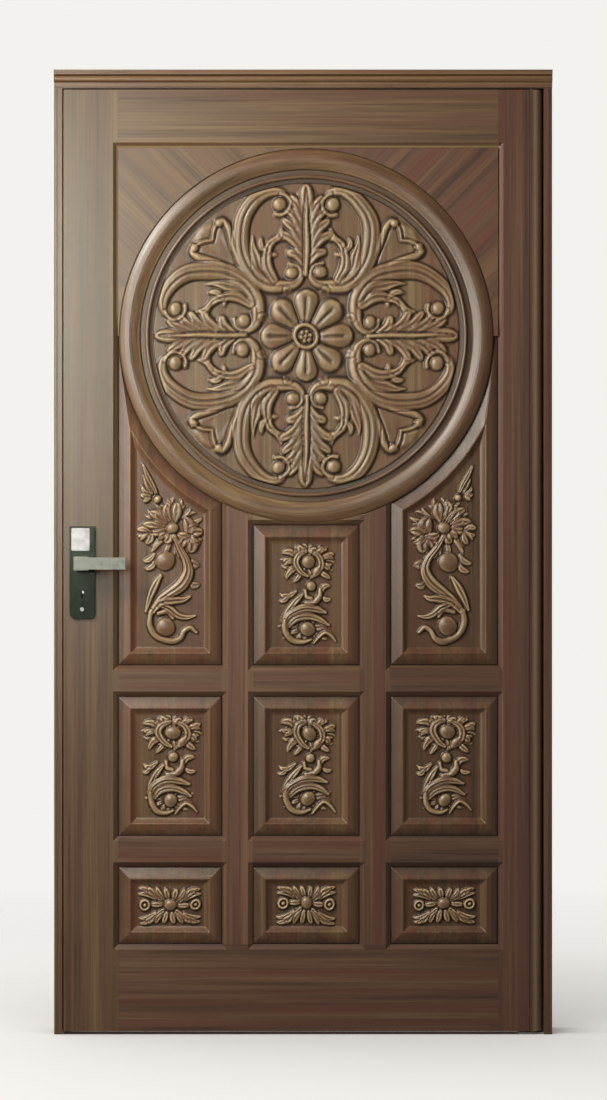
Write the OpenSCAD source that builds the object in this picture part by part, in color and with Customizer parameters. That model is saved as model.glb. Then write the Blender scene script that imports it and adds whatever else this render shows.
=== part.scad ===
// Carved temple door in its frame: a ring medallion above nine raised panels, hung on pivots.
// X runs across the door, -Y is the outside face and Z is up. The origin is on the floor.

/* [Overall] */
// Width over the frame
frame_w = 1085; // [950:5:1250]
// Height over the frame
frame_h = 2100; // [2000:5:2400]
// Thickness of the leaf
leaf_t = 45; // [40:1:55]

/* [Frame] */
// Depth of the frame, front to back
jamb_depth = 110; // [106:1:160]
// Width of the jamb face beside the leaf
jamb_face_w = 18; // [17:1:40]
// Reach of the stop past the jamb face
stop_w = 14; // [10:1:20]
// Height of the head face above the leaf
head_face_h = 39; // [32:1:60]
// Projection of the head moulding
moulding_d = 12; // [8:1:16]
// Gap between the leaf and each jamb
edge_gap = 2.5; // [2:0.1:4]
// Gap between the leaf and the head
top_gap = 3; // [2:0.5:5]
// Gap between the leaf and the floor
floor_gap = 7; // [6:0.5:12]
// Gap between the back of the leaf and the stops
stop_gap = 1.5; // [1:0.1:3]

/* [Leaf] */
// Width of the stile that holds the lock
lock_stile_w = 108; // [100:1:140]
// Width of the stile that holds the pivots
hinge_stile_w = 86; // [80:1:120]
// Height of the top rail
top_rail_h = 115; // [80:1:140]
// Height of the bottom rail
bottom_rail_h = 178; // [120:1:220]
// Height of the short rails and width of the mullions
bar_w = 46; // [38:1:60]
// Distance between the mullion centres
mullion_pitch = 300; // [260:1:330]
// Height of the lowest row of panels
low_panel_h = 190; // [150:1:220]
// Height of the middle row of panels
mid_panel_h = 326; // [250:1:350]
// Sideways shift of the medallion from the middle of the leaf's opening
axis_shift = -4; // [-5:1:5]
// Space between the ring and the stiles, on average
ring_side_gap = 6; // [5:1:30]
// Space between the ring and the top rail
ring_top_gap = 2; // [1:0.5:10]
// Reach of the ring's straight foot below its outer edge
ring_foot = 4; // [3:0.5:10]

/* [Joinery] */
// Depth of the grooves in the edges of the members
groove_d = 12; // [8:0.5:14]
// Width of the grooves, tongues and tenons
groove_t = 14; // [10:0.5:16]
// Gap left at the bottom of each groove
groove_gap = 0.5; // [0.4:0.1:2]
// Clearance between curved wooden edges
coping_gap = 0.3; // [0.2:0.1:1]
// Width of the chamfer around each opening
chamfer_w = 11; // [6:0.5:14]
// Depth of the chamfer around each opening
chamfer_d = 9; // [5:0.5:10]
// Width of the raised border of each panel
border_w = 27; // [20:1:35]
// Width of the slope from the border down to the carved field
cove_w = 13; // [6:1:16]
// Depth of the sunk carved field below the leaf's face
field_d = 10; // [7:0.5:12]

/* [Medallion] */
// Width of the ring, from the medallion's edge to its outer edge
ring_w = 74; // [70:1:100]
// Height of the ring's crown in front of the leaf's face
ring_crown = 3; // [1:0.5:6]
// Height of the carving above its field
carving_h = 11; // [6:0.5:14]

/* [Pivots] */
// Radius of the pivot pins
pin_r = 8; // [6:0.5:9]
// Running clearance between each pivot pin and its bush
pin_gap = 0.05; // [0.02:0.01:0.1]
// Thickness of the pivot plates
plate_t = 4; // [3:0.5:5]

/* [Lock] */
// Distance from the leaf's edge to the spindle
backset = 41; // [38:1:50]
// Height of the spindle above the floor
spindle_z = 1026; // [950:1:1100]
// Distance between the spindle and the keyhole
lock_centres = 63; // [58:1:72]
// Side of the square spindle
spindle_w = 8; // [7:0.5:9]
// Width of the handle plates
hplate_w = 55; // [46:1:60]
// Height of the handle plates
hplate_h = 201; // [190:1:230]
// Thickness of the handle plates
hplate_t = 8; // [5:0.5:10]
// Distance from the spindle to the tip of the lever
lever_len = 97; // [80:1:130]
// Height of the lever's bar
lever_h = 26; // [18:1:28]
// Thickness of the lever's bar
lever_t = 12; // [8:0.5:14]
// Reach of the lever in front of the leaf
lever_reach = 57; // [50:1:60]
// Throw of the latch bolt
latch_throw = 11; // [9:0.5:12]
// Throw of the dead bolt
dead_throw = 13; // [10:0.5:13.5]
// Thickness of the lock case
case_t = 16; // [14:0.5:18]
// Height of the lock case
case_h = 128; // [120:1:134]
// Clearance around the moving pieces of the lock
lock_gap = 0.4; // [0.3:0.05:0.6]

/* [Hidden] */
$fn = 64;
eps = 0.01;
total_depth = lever_reach + jamb_depth;
front_y = lever_reach - total_depth / 2;

jamb_x = frame_w / 2;
jamb_in = jamb_x - jamb_face_w;
stop_in = jamb_in - stop_w;
stop_y = leaf_t + stop_gap;
head_z = frame_h - head_face_h;

leaf_x0 = -jamb_in + edge_gap;
leaf_x1 = jamb_in - edge_gap;
leaf_z0 = floor_gap;
leaf_z1 = head_z - top_gap;

open_x0 = leaf_x0 + lock_stile_w + chamfer_w;
open_x1 = leaf_x1 - hinge_stile_w - chamfer_w;
open_z1 = leaf_z1 - top_rail_h - chamfer_w;
bar = bar_w + 2 * chamfer_w;
low_z0 = leaf_z0 + bottom_rail_h + chamfer_w;
low_z1 = low_z0 + low_panel_h - 2 * chamfer_w;
mid_z0 = low_z1 + bar;
mid_z1 = mid_z0 + mid_panel_h - 2 * chamfer_w;
top_z0 = mid_z1 + bar;

ring_x = (open_x0 + open_x1) / 2 + axis_shift;
ring_r = (open_x1 - open_x0) / 2 - ring_side_gap;
ring_z = open_z1 - ring_r - ring_top_gap;
ring_in = ring_r - ring_w;
ring_edge = 3;
ring_band_w = 38;
band_in = ring_r - ring_edge - ring_band_w;
ring_groove_d = 8;
ring_bead_at = band_in - 20;
ring_bead_w = 4.5;
ring_bead_y = 7;
ring_bead_h = 5;
ring_back_w = 20;
foot_root = 23;
bevel_lap = 5;
head_edge_z = ring_z - ring_r - ring_foot;
mull_l0 = ring_x - mullion_pitch / 2 - bar / 2;
mull_l1 = mull_l0 + bar;
mull_r0 = ring_x + mullion_pitch / 2 - bar / 2;
mull_r1 = mull_r0 + bar;

col_x = [[open_x0, mull_l0], [mull_l1, mull_r0], [mull_r1, open_x1]];
row_z = [[low_z0, low_z1], [mid_z0, mid_z1], [top_z0, ring_z]];
function cell(col, row) = [col_x[col][0], col_x[col][1], row_z[row][0],
    row == 2 && col == 1 ? head_edge_z : row_z[row][1]];
ring_cell = [open_x0, open_x1, ring_z, open_z1];

mid_y = leaf_t / 2;
tongue = groove_d - groove_gap;
panel_face = 1.5;
panel_foot = chamfer_d + 1;
medallion_rim_w = 22;
medallion_rim_d = 12;
medallion_back_d = 15;
carving_root = 2;
scroll_rise = carving_h - 5;
rosette_lift = 4;
leaf_rise = 6;
flower_lift = 3;
flower_drop = 88;
mid_flower_x = 3;
mid_flower_r = 26;
top_flower_r = 28;
side_flower_r = 30;
side_flower_rise = 300;
scroll_r = 30;
mid_scroll_rise = 80;
top_scroll_rise = 82;
low_ball_r = 14;
side_ball_r = 10;
side_ball_x = 45;

face_line_d = 1.4;
jamb_line_x = 6.6;
jamb_line_w = 2.2;
outer_arris = 1.5;
inner_arris = 0.5;
moulding_foot = 2;
moulding_neck = 3;
bead_z = 20;
bead_r = 7;
bead_back = 4;
cap_h = 10;

heel_r = leaf_t / 2;
heel_line_x = 5.75;
heel_line_w = 2.5;
pivot_x = leaf_x1 - heel_r;
pivot_y = mid_y;
bush_r = pin_r + 4;
bush_h = 26;
bush_end_gap = 2;
pin_reach = 18;
pin_seat = 14;
washer_gap = 0.3;
plate_w = 34;
plate_x0 = pivot_x - 30;
plate_x1 = pivot_x + 16;
plate_screw_x = pivot_x - 22;
plate_screw_len = 18;
flange_x0 = plate_x0 - 6;
flange_x1 = pivot_x + 12;
bush_screw_x = plate_screw_x - 6;
ear_h = 74;
ear_screw_z = [26, 54];
ear_screw_len = 12;
frame_screw_y = [30, 82];
frame_screw_len = 80;
jamb_bolt_low = 150;
jamb_bolt_high = frame_h - 180;
jamb_bolt_z = [for (i = [0 : 3]) jamb_bolt_low + (jamb_bolt_high - jamb_bolt_low) * i / 3];
jamb_bolt_r = 4.5;
strike_h = 150;
strike_w = 22;
strike_t = 2;
strike_gap = 1;
pocket_gap = 1.5;
pocket_end_gap = 3;
strike_screw_len = 14;

spindle_x = leaf_x0 + backset;
key_z = spindle_z - lock_centres;
forend_t = 3;
forend_w = 22;
forend_h = 184;
case_top = spindle_z + 40;
case_bottom = case_top - case_h;
case_x0 = leaf_x0 + forend_t;
case_len = backset + 22;
case_x1 = case_x0 + case_len;
case_wall = 1.5;
case_y0 = mid_y - case_t / 2;
case_y1 = mid_y + case_t / 2;
hub_r = 9;
hub_gap = 0.05;
neck_r = 10;
neck_room = 2;
neck_gap = 0.3;
key_r = 4;
key_slot_w = 4;
key_drop = 13;
key_room = 1;
hub_lap = 1;
arm_w = 6;
arm_t = 8;
arm_len = 16.5;
arm_gap = 0.9;
latch_w = 12;
latch_h = 18;
latch_in = 12;
latch_nose = 1;
latch_z = spindle_z + 16;
dead_w = 12;
dead_h = 30;
dead_in = 16;
dead_tail_gap = 6;
dead_tail_z = 10;
dead_z = key_z - 2;
strike_z = (latch_z + dead_z) / 2;
strike_screw_z = [strike_z - strike_h / 2 + 10, strike_z + strike_h / 2 - 10];
hplate_z1 = spindle_z + 81;
hplate_z0 = hplate_z1 - hplate_h;
screw_top_z = spindle_z + 63;
screw_low_z = hplate_z0 + 20;
screw_r = 2.2;
screw_head_r = 4.4;
screw_gap = 0.05;
screw_tip = 3;
spandrel_y = 3;
tongue_t = groove_t - 0.4;
panel_gap = 0.5;
foot_lap = 9;
flange_t = 3;
flange_w = 30;
forend_z0 = strike_z - forend_h / 2;
forend_z1 = strike_z + forend_h / 2;
forend_screw_z = [forend_z0 + 10, forend_z1 - 10];
forend_screw_len = 20;
tail_x = spindle_x + arm_w / 2 + arm_gap;
tail_t = 3;
tail_w = 10;
tail_low = 5;
tail_high = 8;
stem_w = 4;
stem_low = 3;
spring_r = 3;
spring_gap = 0.1;
spring_lift = 5;
spindle_reach = 36;
spindle_gap = 0.05;
spindle_end_gap = 0.5;
hplate_corner = 12;
hplate_wall = 2;
hplate_boss_r = 6;
hplate_screw_len = 18;
lever_hub = 30;
lever_room = 18;
grub_r = 2.5;
grub_low = lever_hub / 2 - 1;
grub_y = -hplate_t - 26;

wood = [0.42, 0.27, 0.20];
wood_light = [0.52, 0.38, 0.28];
wood_dark = [0.34, 0.22, 0.17];
steel = [0.62, 0.63, 0.64];
nickel = [0.50, 0.53, 0.52];
bronze = [0.55, 0.45, 0.30];

// Puts a piece drawn from the leaf's face into its place, front to back.
module place() {
    translate([0, front_y, 0]) children();
}

// Box from its two X, Y and Z limits.
module box(x0, x1, y0, y1, z0, z1) {
    translate([x0, y0, z0]) cube([x1 - x0, y1 - y0, z1 - z0]);
}

// Shape in X and Y, drawn up from z0 to z1.
module upright(z0, z1) {
    translate([0, 0, z0]) linear_extrude(z1 - z0) children();
}

// Shape in X and Z, drawn from y0 to y1.
module facing(y0, y1) {
    translate([0, y1, 0]) rotate([90, 0, 0]) linear_extrude(y1 - y0) children();
}

// Round bar along Y at x, z.
module round_y(x, z, r, y0, y1) {
    translate([x, y0, z]) rotate([-90, 0, 0]) cylinder(r = r, h = y1 - y0);
}

// Rectangular pyramid stump: a rectangle at y0 that grows by g on each side at y1.
module stump(x0, x1, z0, z1, y0, y1, g) {
    intersection() {
        upright(z0 - abs(g) - 1, z1 + abs(g) + 1)
            polygon([[x0, y0], [x1, y0], [x1 + g, y1], [x0 - g, y1]]);
        translate([x0 - abs(g) - 1, 0, 0]) rotate([90, 0, 90])
            linear_extrude(x1 - x0 + 2 * abs(g) + 2)
                polygon([[y0, z0], [y0, z1], [y1, z1 + g], [y1, z0 - g]]);
    }
}

// Cutter for the chamfers around one opening, on both faces of the leaf.
module opening_chamfer(x0, x1, z0, z1) {
    k = chamfer_w / chamfer_d;
    stump(x0, x1, z0, z1, chamfer_d, -1, chamfer_w + k);
    stump(x0, x1, z0, z1, leaf_t - chamfer_d, leaf_t + 1, chamfer_w + k);
}

// Chamfers of the openings in a list of [x0, x1, z0, z1].
module chamfers(cells) {
    for (c = cells) opening_chamfer(c[0], c[1], c[2], c[3]);
}

// Tongue or tenon slab between the groove's walls.
module tongue_box(x0, x1, z0, z1) {
    box(x0, x1, mid_y - groove_t / 2, mid_y + groove_t / 2, z0, z1);
}

// Turns what points along +Y to another direction.
module along(way) {
    turn = way == "+x" ? [0, 0, -90] : way == "-x" ? [0, 0, 90] : way == "+z" ? [90, 0, 0]
        : way == "-z" ? [-90, 0, 0] : way == "-y" ? [0, 0, 180] : [0, 0, 0];
    rotate(turn) children();
}

// Countersunk screw: its head is flush at the origin and it points along +Y.
module screw(len) {
    rotate([90, 0, 0]) rotate_extrude()
        polygon([[0, 0], [screw_head_r, 0], [screw_r, screw_r - screw_head_r],
            [screw_r, screw_tip - len], [0, -len]]);
}

// Cutter that a countersunk screw fits into.
module screw_hole(len) {
    r = screw_r + screw_gap;
    head_r = screw_head_r + screw_gap;
    rotate([90, 0, 0]) rotate_extrude()
        polygon([[0, 1], [head_r, 1], [head_r, 0], [r, r - head_r], [r, -len - 1], [0, -len - 1]]);
}

// ---- Frame ----

// Cutter for a V-shaped line around x, w wide just in front of the face.
module face_line(x, w) {
    polygon([[x - w / 2, -1], [x + w / 2, -1], [x, face_line_d]]);
}

module jamb_profile() {
    difference() {
        union() {
            square([jamb_face_w, jamb_depth]);
            translate([0, stop_y]) square([jamb_face_w + stop_w, jamb_depth - stop_y]);
        }
        face_line(jamb_line_x, jamb_line_w);
        polygon([[-1, -1], [outer_arris + 1, -1], [-1, outer_arris + 1]]);
        polygon([[jamb_face_w - inner_arris - 1, -1], [jamb_face_w + 1, -1],
            [jamb_face_w + 1, inner_arris + 1]]);
    }
}

// One jamb, its outer edge at x = 0 and its face towards +X.
module jamb() {
    difference() {
        upright(0, head_z) jamb_profile();
        for (z = jamb_bolt_z) translate([-1, (stop_y + jamb_depth) / 2, z]) rotate([0, 90, 0])
            cylinder(r = jamb_bolt_r, h = jamb_face_w + stop_w + 2);
        for (y = frame_screw_y)
            translate([jamb_face_w / 2, y, frame_h]) along("-z") screw_hole(frame_screw_len);
    }
}

module jamb_lock_side() {
    color(wood) place() difference() {
        translate([-jamb_x, 0, 0]) jamb();
        strike_cutter();
    }
}

module jamb_hinge_side() {
    color(wood_dark) place() difference() {
        mirror([1, 0, 0]) translate([-jamb_x, 0, 0]) jamb();
        box(jamb_in - 1, jamb_in + plate_t, pivot_y - plate_w / 2, pivot_y + plate_w / 2, -1, ear_h);
        for (z = ear_screw_z) translate([jamb_in, pivot_y, z]) along("+x") screw_hole(ear_screw_len);
    }
}

module head() {
    color(wood) place() difference() {
        union() {
            box(-jamb_x, jamb_x, 0, jamb_depth, head_z, frame_h);
            box(-stop_in, stop_in, stop_y, jamb_depth, head_z - stop_w, head_z + 1);
        }
        for (s = [-1, 1]) for (y = frame_screw_y)
            translate([s * (jamb_x - jamb_face_w / 2), y, frame_h]) along("-z") screw_hole(frame_screw_len);
        box(plate_x0, plate_x1, pivot_y - plate_w / 2, pivot_y + plate_w / 2, head_z - 1, head_z + plate_t);
        translate([pivot_x, pivot_y, head_z]) cylinder(r = pin_r + screw_gap, h = pin_seat);
        translate([plate_screw_x, pivot_y, head_z]) along("+z") screw_hole(plate_screw_len);
    }
}

module head_moulding() {
    color(wood_light) place() translate([-jamb_x, 0, 0]) rotate([90, 0, 90]) linear_extrude(frame_w)
        polygon(concat(
            [[0, head_z + moulding_foot], [-moulding_foot, head_z + moulding_foot],
                [-moulding_neck, head_z + moulding_foot + moulding_neck],
                [-moulding_neck, head_z + bead_z - bead_r - 1]],
            [for (a = [0 : 15 : 180])
                [-bead_back - (moulding_d - bead_back - 1) * sin(a), head_z + bead_z - bead_r * cos(a)]],
            [[-moulding_d, frame_h - cap_h], [-moulding_d, frame_h], [0, frame_h]]));
}

module frame_screws() {
    color(steel) place() for (s = [-1, 1]) for (y = frame_screw_y)
        translate([s * (jamb_x - jamb_face_w / 2), y, frame_h]) along("-z") screw(frame_screw_len);
}

// Box in the middle of the leaf's thickness: w deep, h tall around z, and wider all round by g.
module slot(x0, x1, w, h, z, g = 0) {
    box(x0, x1, mid_y - w / 2 - g, mid_y + w / 2 + g, z - h / 2 - g, z + h / 2 + g);
}

// Holes for both bolts from x0 to x1, with clearance g around them.
module bolt_pockets(x0, x1, g) {
    slot(x0, x1, latch_w, latch_h, latch_z, g);
    slot(x0, x1, dead_w, dead_h, dead_z, g);
}

module strike_cutter() {
    slot(-jamb_in - strike_t, -jamb_in + 1, strike_w, strike_h, strike_z);
    bolt_pockets(-jamb_in - dead_throw + edge_gap - pocket_end_gap, -jamb_in + 1, pocket_gap);
    for (z = strike_screw_z) translate([-jamb_in, mid_y, z]) along("-x") screw_hole(strike_screw_len);
}

module strike_plate() {
    color(nickel) place() difference() {
        slot(-jamb_in - strike_t, -jamb_in, strike_w, strike_h, strike_z);
        bolt_pockets(-jamb_in - strike_t - 1, -jamb_in + 1, strike_gap);
        for (z = strike_screw_z) translate([-jamb_in, mid_y, z]) along("-x") screw_hole(strike_screw_len);
    }
}

module strike_screws() {
    color(steel) place() for (z = strike_screw_z)
        translate([-jamb_in, mid_y, z]) along("-x") screw(strike_screw_len);
}

module top_pivot_plate() {
    color(steel) place() difference() {
        box(plate_x0, plate_x1, pivot_y - plate_w / 2, pivot_y + plate_w / 2, head_z, head_z + plate_t);
        translate([pivot_x, pivot_y, head_z - 1]) cylinder(r = pin_r + screw_gap, h = plate_t + 2);
        translate([plate_screw_x, pivot_y, head_z]) along("+z") screw_hole(plate_screw_len);
    }
}

module top_pivot_pin() {
    color(steel) place() translate([pivot_x, pivot_y, leaf_z1 - pin_reach])
        cylinder(r = pin_r, h = head_z + pin_seat - leaf_z1 + pin_reach);
}

module bottom_pivot_plate() {
    color(steel) place() difference() {
        union() {
            box(plate_x0, jamb_in + plate_t, pivot_y - plate_w / 2, pivot_y + plate_w / 2, 0, plate_t);
            box(jamb_in, jamb_in + plate_t, pivot_y - plate_w / 2, pivot_y + plate_w / 2, 0, ear_h);
        }
        for (z = ear_screw_z) translate([jamb_in, pivot_y, z]) along("+x") screw_hole(ear_screw_len);
        translate([pivot_x, pivot_y, -1]) cylinder(r = pin_r + screw_gap, h = plate_t + 2);
    }
}

module bottom_pivot_pin() {
    color(steel) place() translate([pivot_x, pivot_y, 0]) cylinder(r = pin_r, h = leaf_z0 + pin_reach);
}

module thrust_washer() {
    color(bronze) place() translate([pivot_x, pivot_y, plate_t]) difference() {
        cylinder(r = bush_r, h = leaf_z0 - plate_t - washer_gap);
        translate([0, 0, -1]) cylinder(r = pin_r + pin_gap, h = leaf_z0);
    }
}

module pivot_plate_screws() {
    color(steel) place() {
        translate([plate_screw_x, pivot_y, head_z]) along("+z") screw(plate_screw_len);
        for (z = ear_screw_z) translate([jamb_in, pivot_y, z]) along("+x") screw(ear_screw_len);
    }
}

// ---- Wooden leaf ----

module lock_stile() {
    color(wood) place() difference() {
        box(leaf_x0, open_x0, 0, leaf_t, leaf_z0, leaf_z1);
        tongue_box(open_x0 - groove_d, open_x0 + 1, leaf_z0 - 1, leaf_z1 + 1);
        chamfers([ring_cell, cell(0, 0), cell(0, 1), cell(0, 2)]);
        lock_cutter();
    }
}

module hinge_stile() {
    color(wood_dark) place() difference() {
        upright(leaf_z0, leaf_z1) union() {
            translate([open_x1, 0]) square([pivot_x - open_x1, leaf_t]);
            intersection() {
                translate([pivot_x, pivot_y]) circle(r = heel_r);
                translate([pivot_x - 1, -1]) square([heel_r + 2, leaf_t + 2]);
            }
        }
        tongue_box(open_x1 - 1, open_x1 + groove_d, leaf_z0 - 1, leaf_z1 + 1);
        chamfers([ring_cell, cell(2, 0), cell(2, 1), cell(2, 2)]);
        translate([0, 0, leaf_z1]) mirror([0, 0, 1]) bush_cutter();
        translate([0, 0, leaf_z0]) bush_cutter();
        upright(leaf_z0 - 1, leaf_z1 + 1) face_line(pivot_x - heel_line_x, heel_line_w);
    }
}

module top_rail() {
    color(wood) place() {
        difference() {
            box(open_x0, open_x1, 0, leaf_t, open_z1, leaf_z1);
            tongue_box(open_x0 - 1, open_x1 + 1, open_z1 - 1, open_z1 + groove_d);
            chamfers([ring_cell]);
        }
        for (x = [[open_x0 - tongue, open_x0], [open_x1, open_x1 + tongue]])
            tongue_box(x[0], x[1], open_z1 + groove_d, leaf_z1 - groove_d);
    }
}

module bottom_rail() {
    color(wood) place() {
        difference() {
            box(open_x0, open_x1, 0, leaf_t, leaf_z0, low_z0);
            tongue_box(open_x0 - 1, open_x1 + 1, low_z0 - groove_d, low_z0 + 1);
            chamfers([cell(0, 0), cell(1, 0), cell(2, 0)]);
        }
        for (x = [[open_x0 - tongue, open_x0], [open_x1, open_x1 + tongue]])
            tongue_box(x[0], x[1], leaf_z0 + groove_d, low_z0 - groove_d);
    }
}

// Mullion between column col and the next, coped at its top to the ring.
module mullion(col) {
    x0 = col_x[col][1];
    x1 = col_x[col + 1][0];
    difference() {
        box(x0, x1, 0, leaf_t, low_z0, ring_z);
        round_y(ring_x, ring_z, ring_r + coping_gap, -1, leaf_t + 1);
        tongue_box(x0 - 1, x0 + groove_d, low_z0 - 1, ring_z + 1);
        tongue_box(x1 - groove_d, x1 + 1, low_z0 - 1, ring_z + 1);
        chamfers([for (c = [col, col + 1]) for (r = [0 : 2]) cell(c, r)]);
    }
    tongue_box(x0 + groove_d, x1 - groove_d, low_z0 - tongue, low_z0);
    difference() {
        tongue_box(x0 + groove_d, x1 - groove_d, low_z0, ring_z);
        round_y(ring_x, ring_z, ring_r - tongue, -1, leaf_t + 1);
    }
}

module mullion_left() { color(wood) place() mullion(0); }
module mullion_right() { color(wood) place() mullion(1); }

// Short rail in column col, above row row.
module short_rail(col, row) {
    x = col_x[col];
    z0 = row_z[row][1];
    z1 = row_z[row + 1][0];
    difference() {
        box(x[0], x[1], 0, leaf_t, z0, z1);
        tongue_box(x[0] - 1, x[1] + 1, z0 - 1, z0 + groove_d);
        tongue_box(x[0] - 1, x[1] + 1, z1 - groove_d, z1 + 1);
        chamfers([cell(col, row), cell(col, row + 1)]);
    }
    tongue_box(x[0] - tongue, x[0], z0 + groove_d, z1 - groove_d);
    tongue_box(x[1], x[1] + tongue, z0 + groove_d, z1 - groove_d);
}

module upper_rail_left() { color(wood) place() short_rail(0, 1); }
module upper_rail_middle() { color(wood) place() short_rail(1, 1); }
module upper_rail_right() { color(wood) place() short_rail(2, 1); }
module lower_rail_left() { color(wood) place() short_rail(0, 0); }
module lower_rail_middle() { color(wood) place() short_rail(1, 0); }
module lower_rail_right() { color(wood) place() short_rail(2, 0); }

// Flat corner panel between the ring, the top rail and a stile, from x0 to x1.
module spandrel(x0, x1, tongue_x0, tongue_x1) {
    difference() {
        box(x0, x1, spandrel_y, leaf_t - spandrel_y, ring_z, open_z1);
        round_y(ring_x, ring_z, ring_r + coping_gap, -1, leaf_t + 1);
    }
    difference() {
        box(tongue_x0, tongue_x1, mid_y - tongue_t / 2, mid_y + tongue_t / 2, ring_z, open_z1 + tongue);
        round_y(ring_x, ring_z, ring_r - tongue, -1, leaf_t + 1);
    }
}

module spandrel_left() { color(wood_light) place() spandrel(open_x0, ring_x, open_x0 - tongue, ring_x); }
module spandrel_right() { color(wood) place() spandrel(ring_x, open_x1, ring_x, open_x1 + tongue); }

// Half section of the ring as [radius, depth from the leaf's face].
function ring_section() = concat(
    [[ring_r, mid_y - groove_t / 2], [ring_r, 2 * ring_edge], [ring_r - ring_edge, ring_edge]],
    [for (i = [1 : 7]) [ring_r - ring_edge - ring_band_w * i / 8,
        ring_edge - (ring_crown + ring_edge) * sin(180 * i / 8)]],
    [[band_in, ring_edge], [band_in - 3, ring_edge + 1], [band_in - 6, ring_groove_d],
        [ring_bead_at + ring_bead_w + 0.5, ring_groove_d]],
    [for (a = [30 : 30 : 150]) [ring_bead_at + ring_bead_w * cos(a), ring_bead_y - ring_bead_h * sin(a)]],
    [[ring_in + 8, ring_groove_d], [ring_in + 2, ring_groove_d + 1], [ring_in, ring_groove_d + 1],
        [ring_in, mid_y - groove_t / 2], [ring_in + groove_d, mid_y - groove_t / 2],
        [ring_in + groove_d, mid_y + groove_t / 2], [ring_in, mid_y + groove_t / 2],
        [ring_in, leaf_t - 2 * ring_edge], [ring_in + 2 * ring_edge, leaf_t - 2],
        [ring_in + ring_back_w, leaf_t], [ring_r - ring_back_w, leaf_t],
        [ring_r - ring_edge, leaf_t - ring_edge], [ring_r, leaf_t - 2 * ring_edge],
        [ring_r, mid_y + groove_t / 2], [ring_r - groove_d, mid_y + groove_t / 2],
        [ring_r - groove_d, mid_y - groove_t / 2]]);

// Straight foot of the ring over the middle panel.
module ring_foot_block() {
    top = ring_z - ring_r + foot_root;
    difference() {
        box(mull_l1, mull_r0, 0, leaf_t, head_edge_z, top);
        round_y(ring_x, ring_z, ring_r - 1, -1, foot_lap);
        round_y(ring_x, ring_z, ring_r - 1, leaf_t - foot_lap, leaf_t + 1);
    }
}

module medallion_ring() {
    color(wood_light) place() difference() {
        union() {
            translate([ring_x, 0, ring_z]) rotate([-90, 0, 0]) rotate_extrude($fn = 180)
                polygon(ring_section());
            ring_foot_block();
        }
        tongue_box(mull_l1 - 1, mull_r0 + 1, head_edge_z - 1, head_edge_z + groove_d);
        chamfers([cell(1, 2)]);
    }
}

// Ball carved on a field at x, z.
module carved_ball(x, z, r, y = field_d) {
    translate([x, y, z]) sphere(r = r);
}

// Part of a carved scroll: a ridge of width w along an arc around x, z.
module carved_arc(x, z, r, w, a0, a1) {
    h = carving_root + scroll_rise;
    translate([x, field_d + carving_root, z]) rotate([90, 0, 0]) rotate([0, 0, a0])
        rotate_extrude(angle = a1 - a0)
            polygon([[r - w / 2, 0], [r - w / 4, h], [r + w / 4, h], [r + w / 2, 0]]);
}

module medallion_panel() {
    r = ring_in - coping_gap;
    color(wood_light) place() {
        difference() {
            union() {
                round_y(ring_x, ring_z, r, field_d, leaf_t - medallion_rim_d);
                round_y(ring_x, ring_z, ring_in + tongue, mid_y - tongue_t / 2, mid_y + tongue_t / 2);
            }
            round_y(ring_x, ring_z, r - medallion_rim_w, leaf_t - medallion_back_d, leaf_t);
        }
        medallion_carving(r);
    }
}

// Rosette and the four scrolled units around it, in shares of the field's radius r.
module medallion_carving(r) {
    translate([ring_x, 0, ring_z]) {
        translate([0, field_d + carving_root, 0]) rotate([90, 0, 0])
            cylinder(r1 = 0.29 * r, r2 = 0.2 * r, h = carving_h - 2);
        carved_ball(0, 0, 0.06 * r, field_d - rosette_lift);
        for (k = [0 : 3]) rotate([0, 90 * k, 0]) {
            for (s = [-1, 1]) {
                carved_ball(s * 0.176 * r, 0.84 * r, 0.047 * r);
                carved_ball(s * 0.075 * r, 0.406 * r, 0.05 * r);
            }
            carved_arc(0.24 * r, 0.62 * r, 0.2 * r, 0.08 * r, -95, 95);
            carved_arc(-0.24 * r, 0.62 * r, 0.2 * r, 0.08 * r, 85, 275);
            carved_leaf(0.4 * r, 0.96 * r, 0.1 * r);
        }
    }
}

// Pointed leaf from z0 to z1, reaching w to each side.
module carved_leaf(z0, z1, w) {
    facing(field_d - leaf_rise, field_d + carving_root)
        polygon([[0, z0], [w, z0 + (z1 - z0) * 0.45], [w * 0.6, z0 + (z1 - z0) * 0.75], [0, z1],
            [-w * 0.6, z0 + (z1 - z0) * 0.75], [-w, z0 + (z1 - z0) * 0.45]]);
}

// Raised panel blank in the opening c, with its tongue, its border and the sunk field on the front.
module raised_panel(c, top_open = false) {
    g = panel_gap;
    z1 = top_open ? c[3] + border_w + cove_w : c[3] - g;
    difference() {
        union() {
            stump(c[0] + g, c[1] - g, c[2] + g, z1, panel_foot, panel_face, -border_w);
            box(c[0] + g, c[1] - g, panel_foot, leaf_t - panel_foot, c[2] + g, z1);
            stump(c[0] + g, c[1] - g, c[2] + g, z1, leaf_t - panel_foot, leaf_t - panel_face, -border_w);
        }
        stump(c[0] + border_w + cove_w, c[1] - border_w - cove_w, c[2] + border_w + cove_w,
            top_open ? z1 + 1 : c[3] - border_w - cove_w, field_d, panel_face - 1, cove_w + g);
    }
}

// Tongue around a panel in the opening c.
module panel_tongue(c, z1) {
    box(c[0] - tongue, c[1] + tongue, mid_y - tongue_t / 2, mid_y + tongue_t / 2, c[2] - tongue, z1);
}

// Scroll with its ball, in the lower part of a field, turned left or right.
module panel_scroll(x, z, r, side) {
    carved_ball(x, z, r * 0.45);
    carved_arc(x, z, r, r * 0.45, side > 0 ? 60 : -60, side > 0 ? 280 : 120);
}

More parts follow.
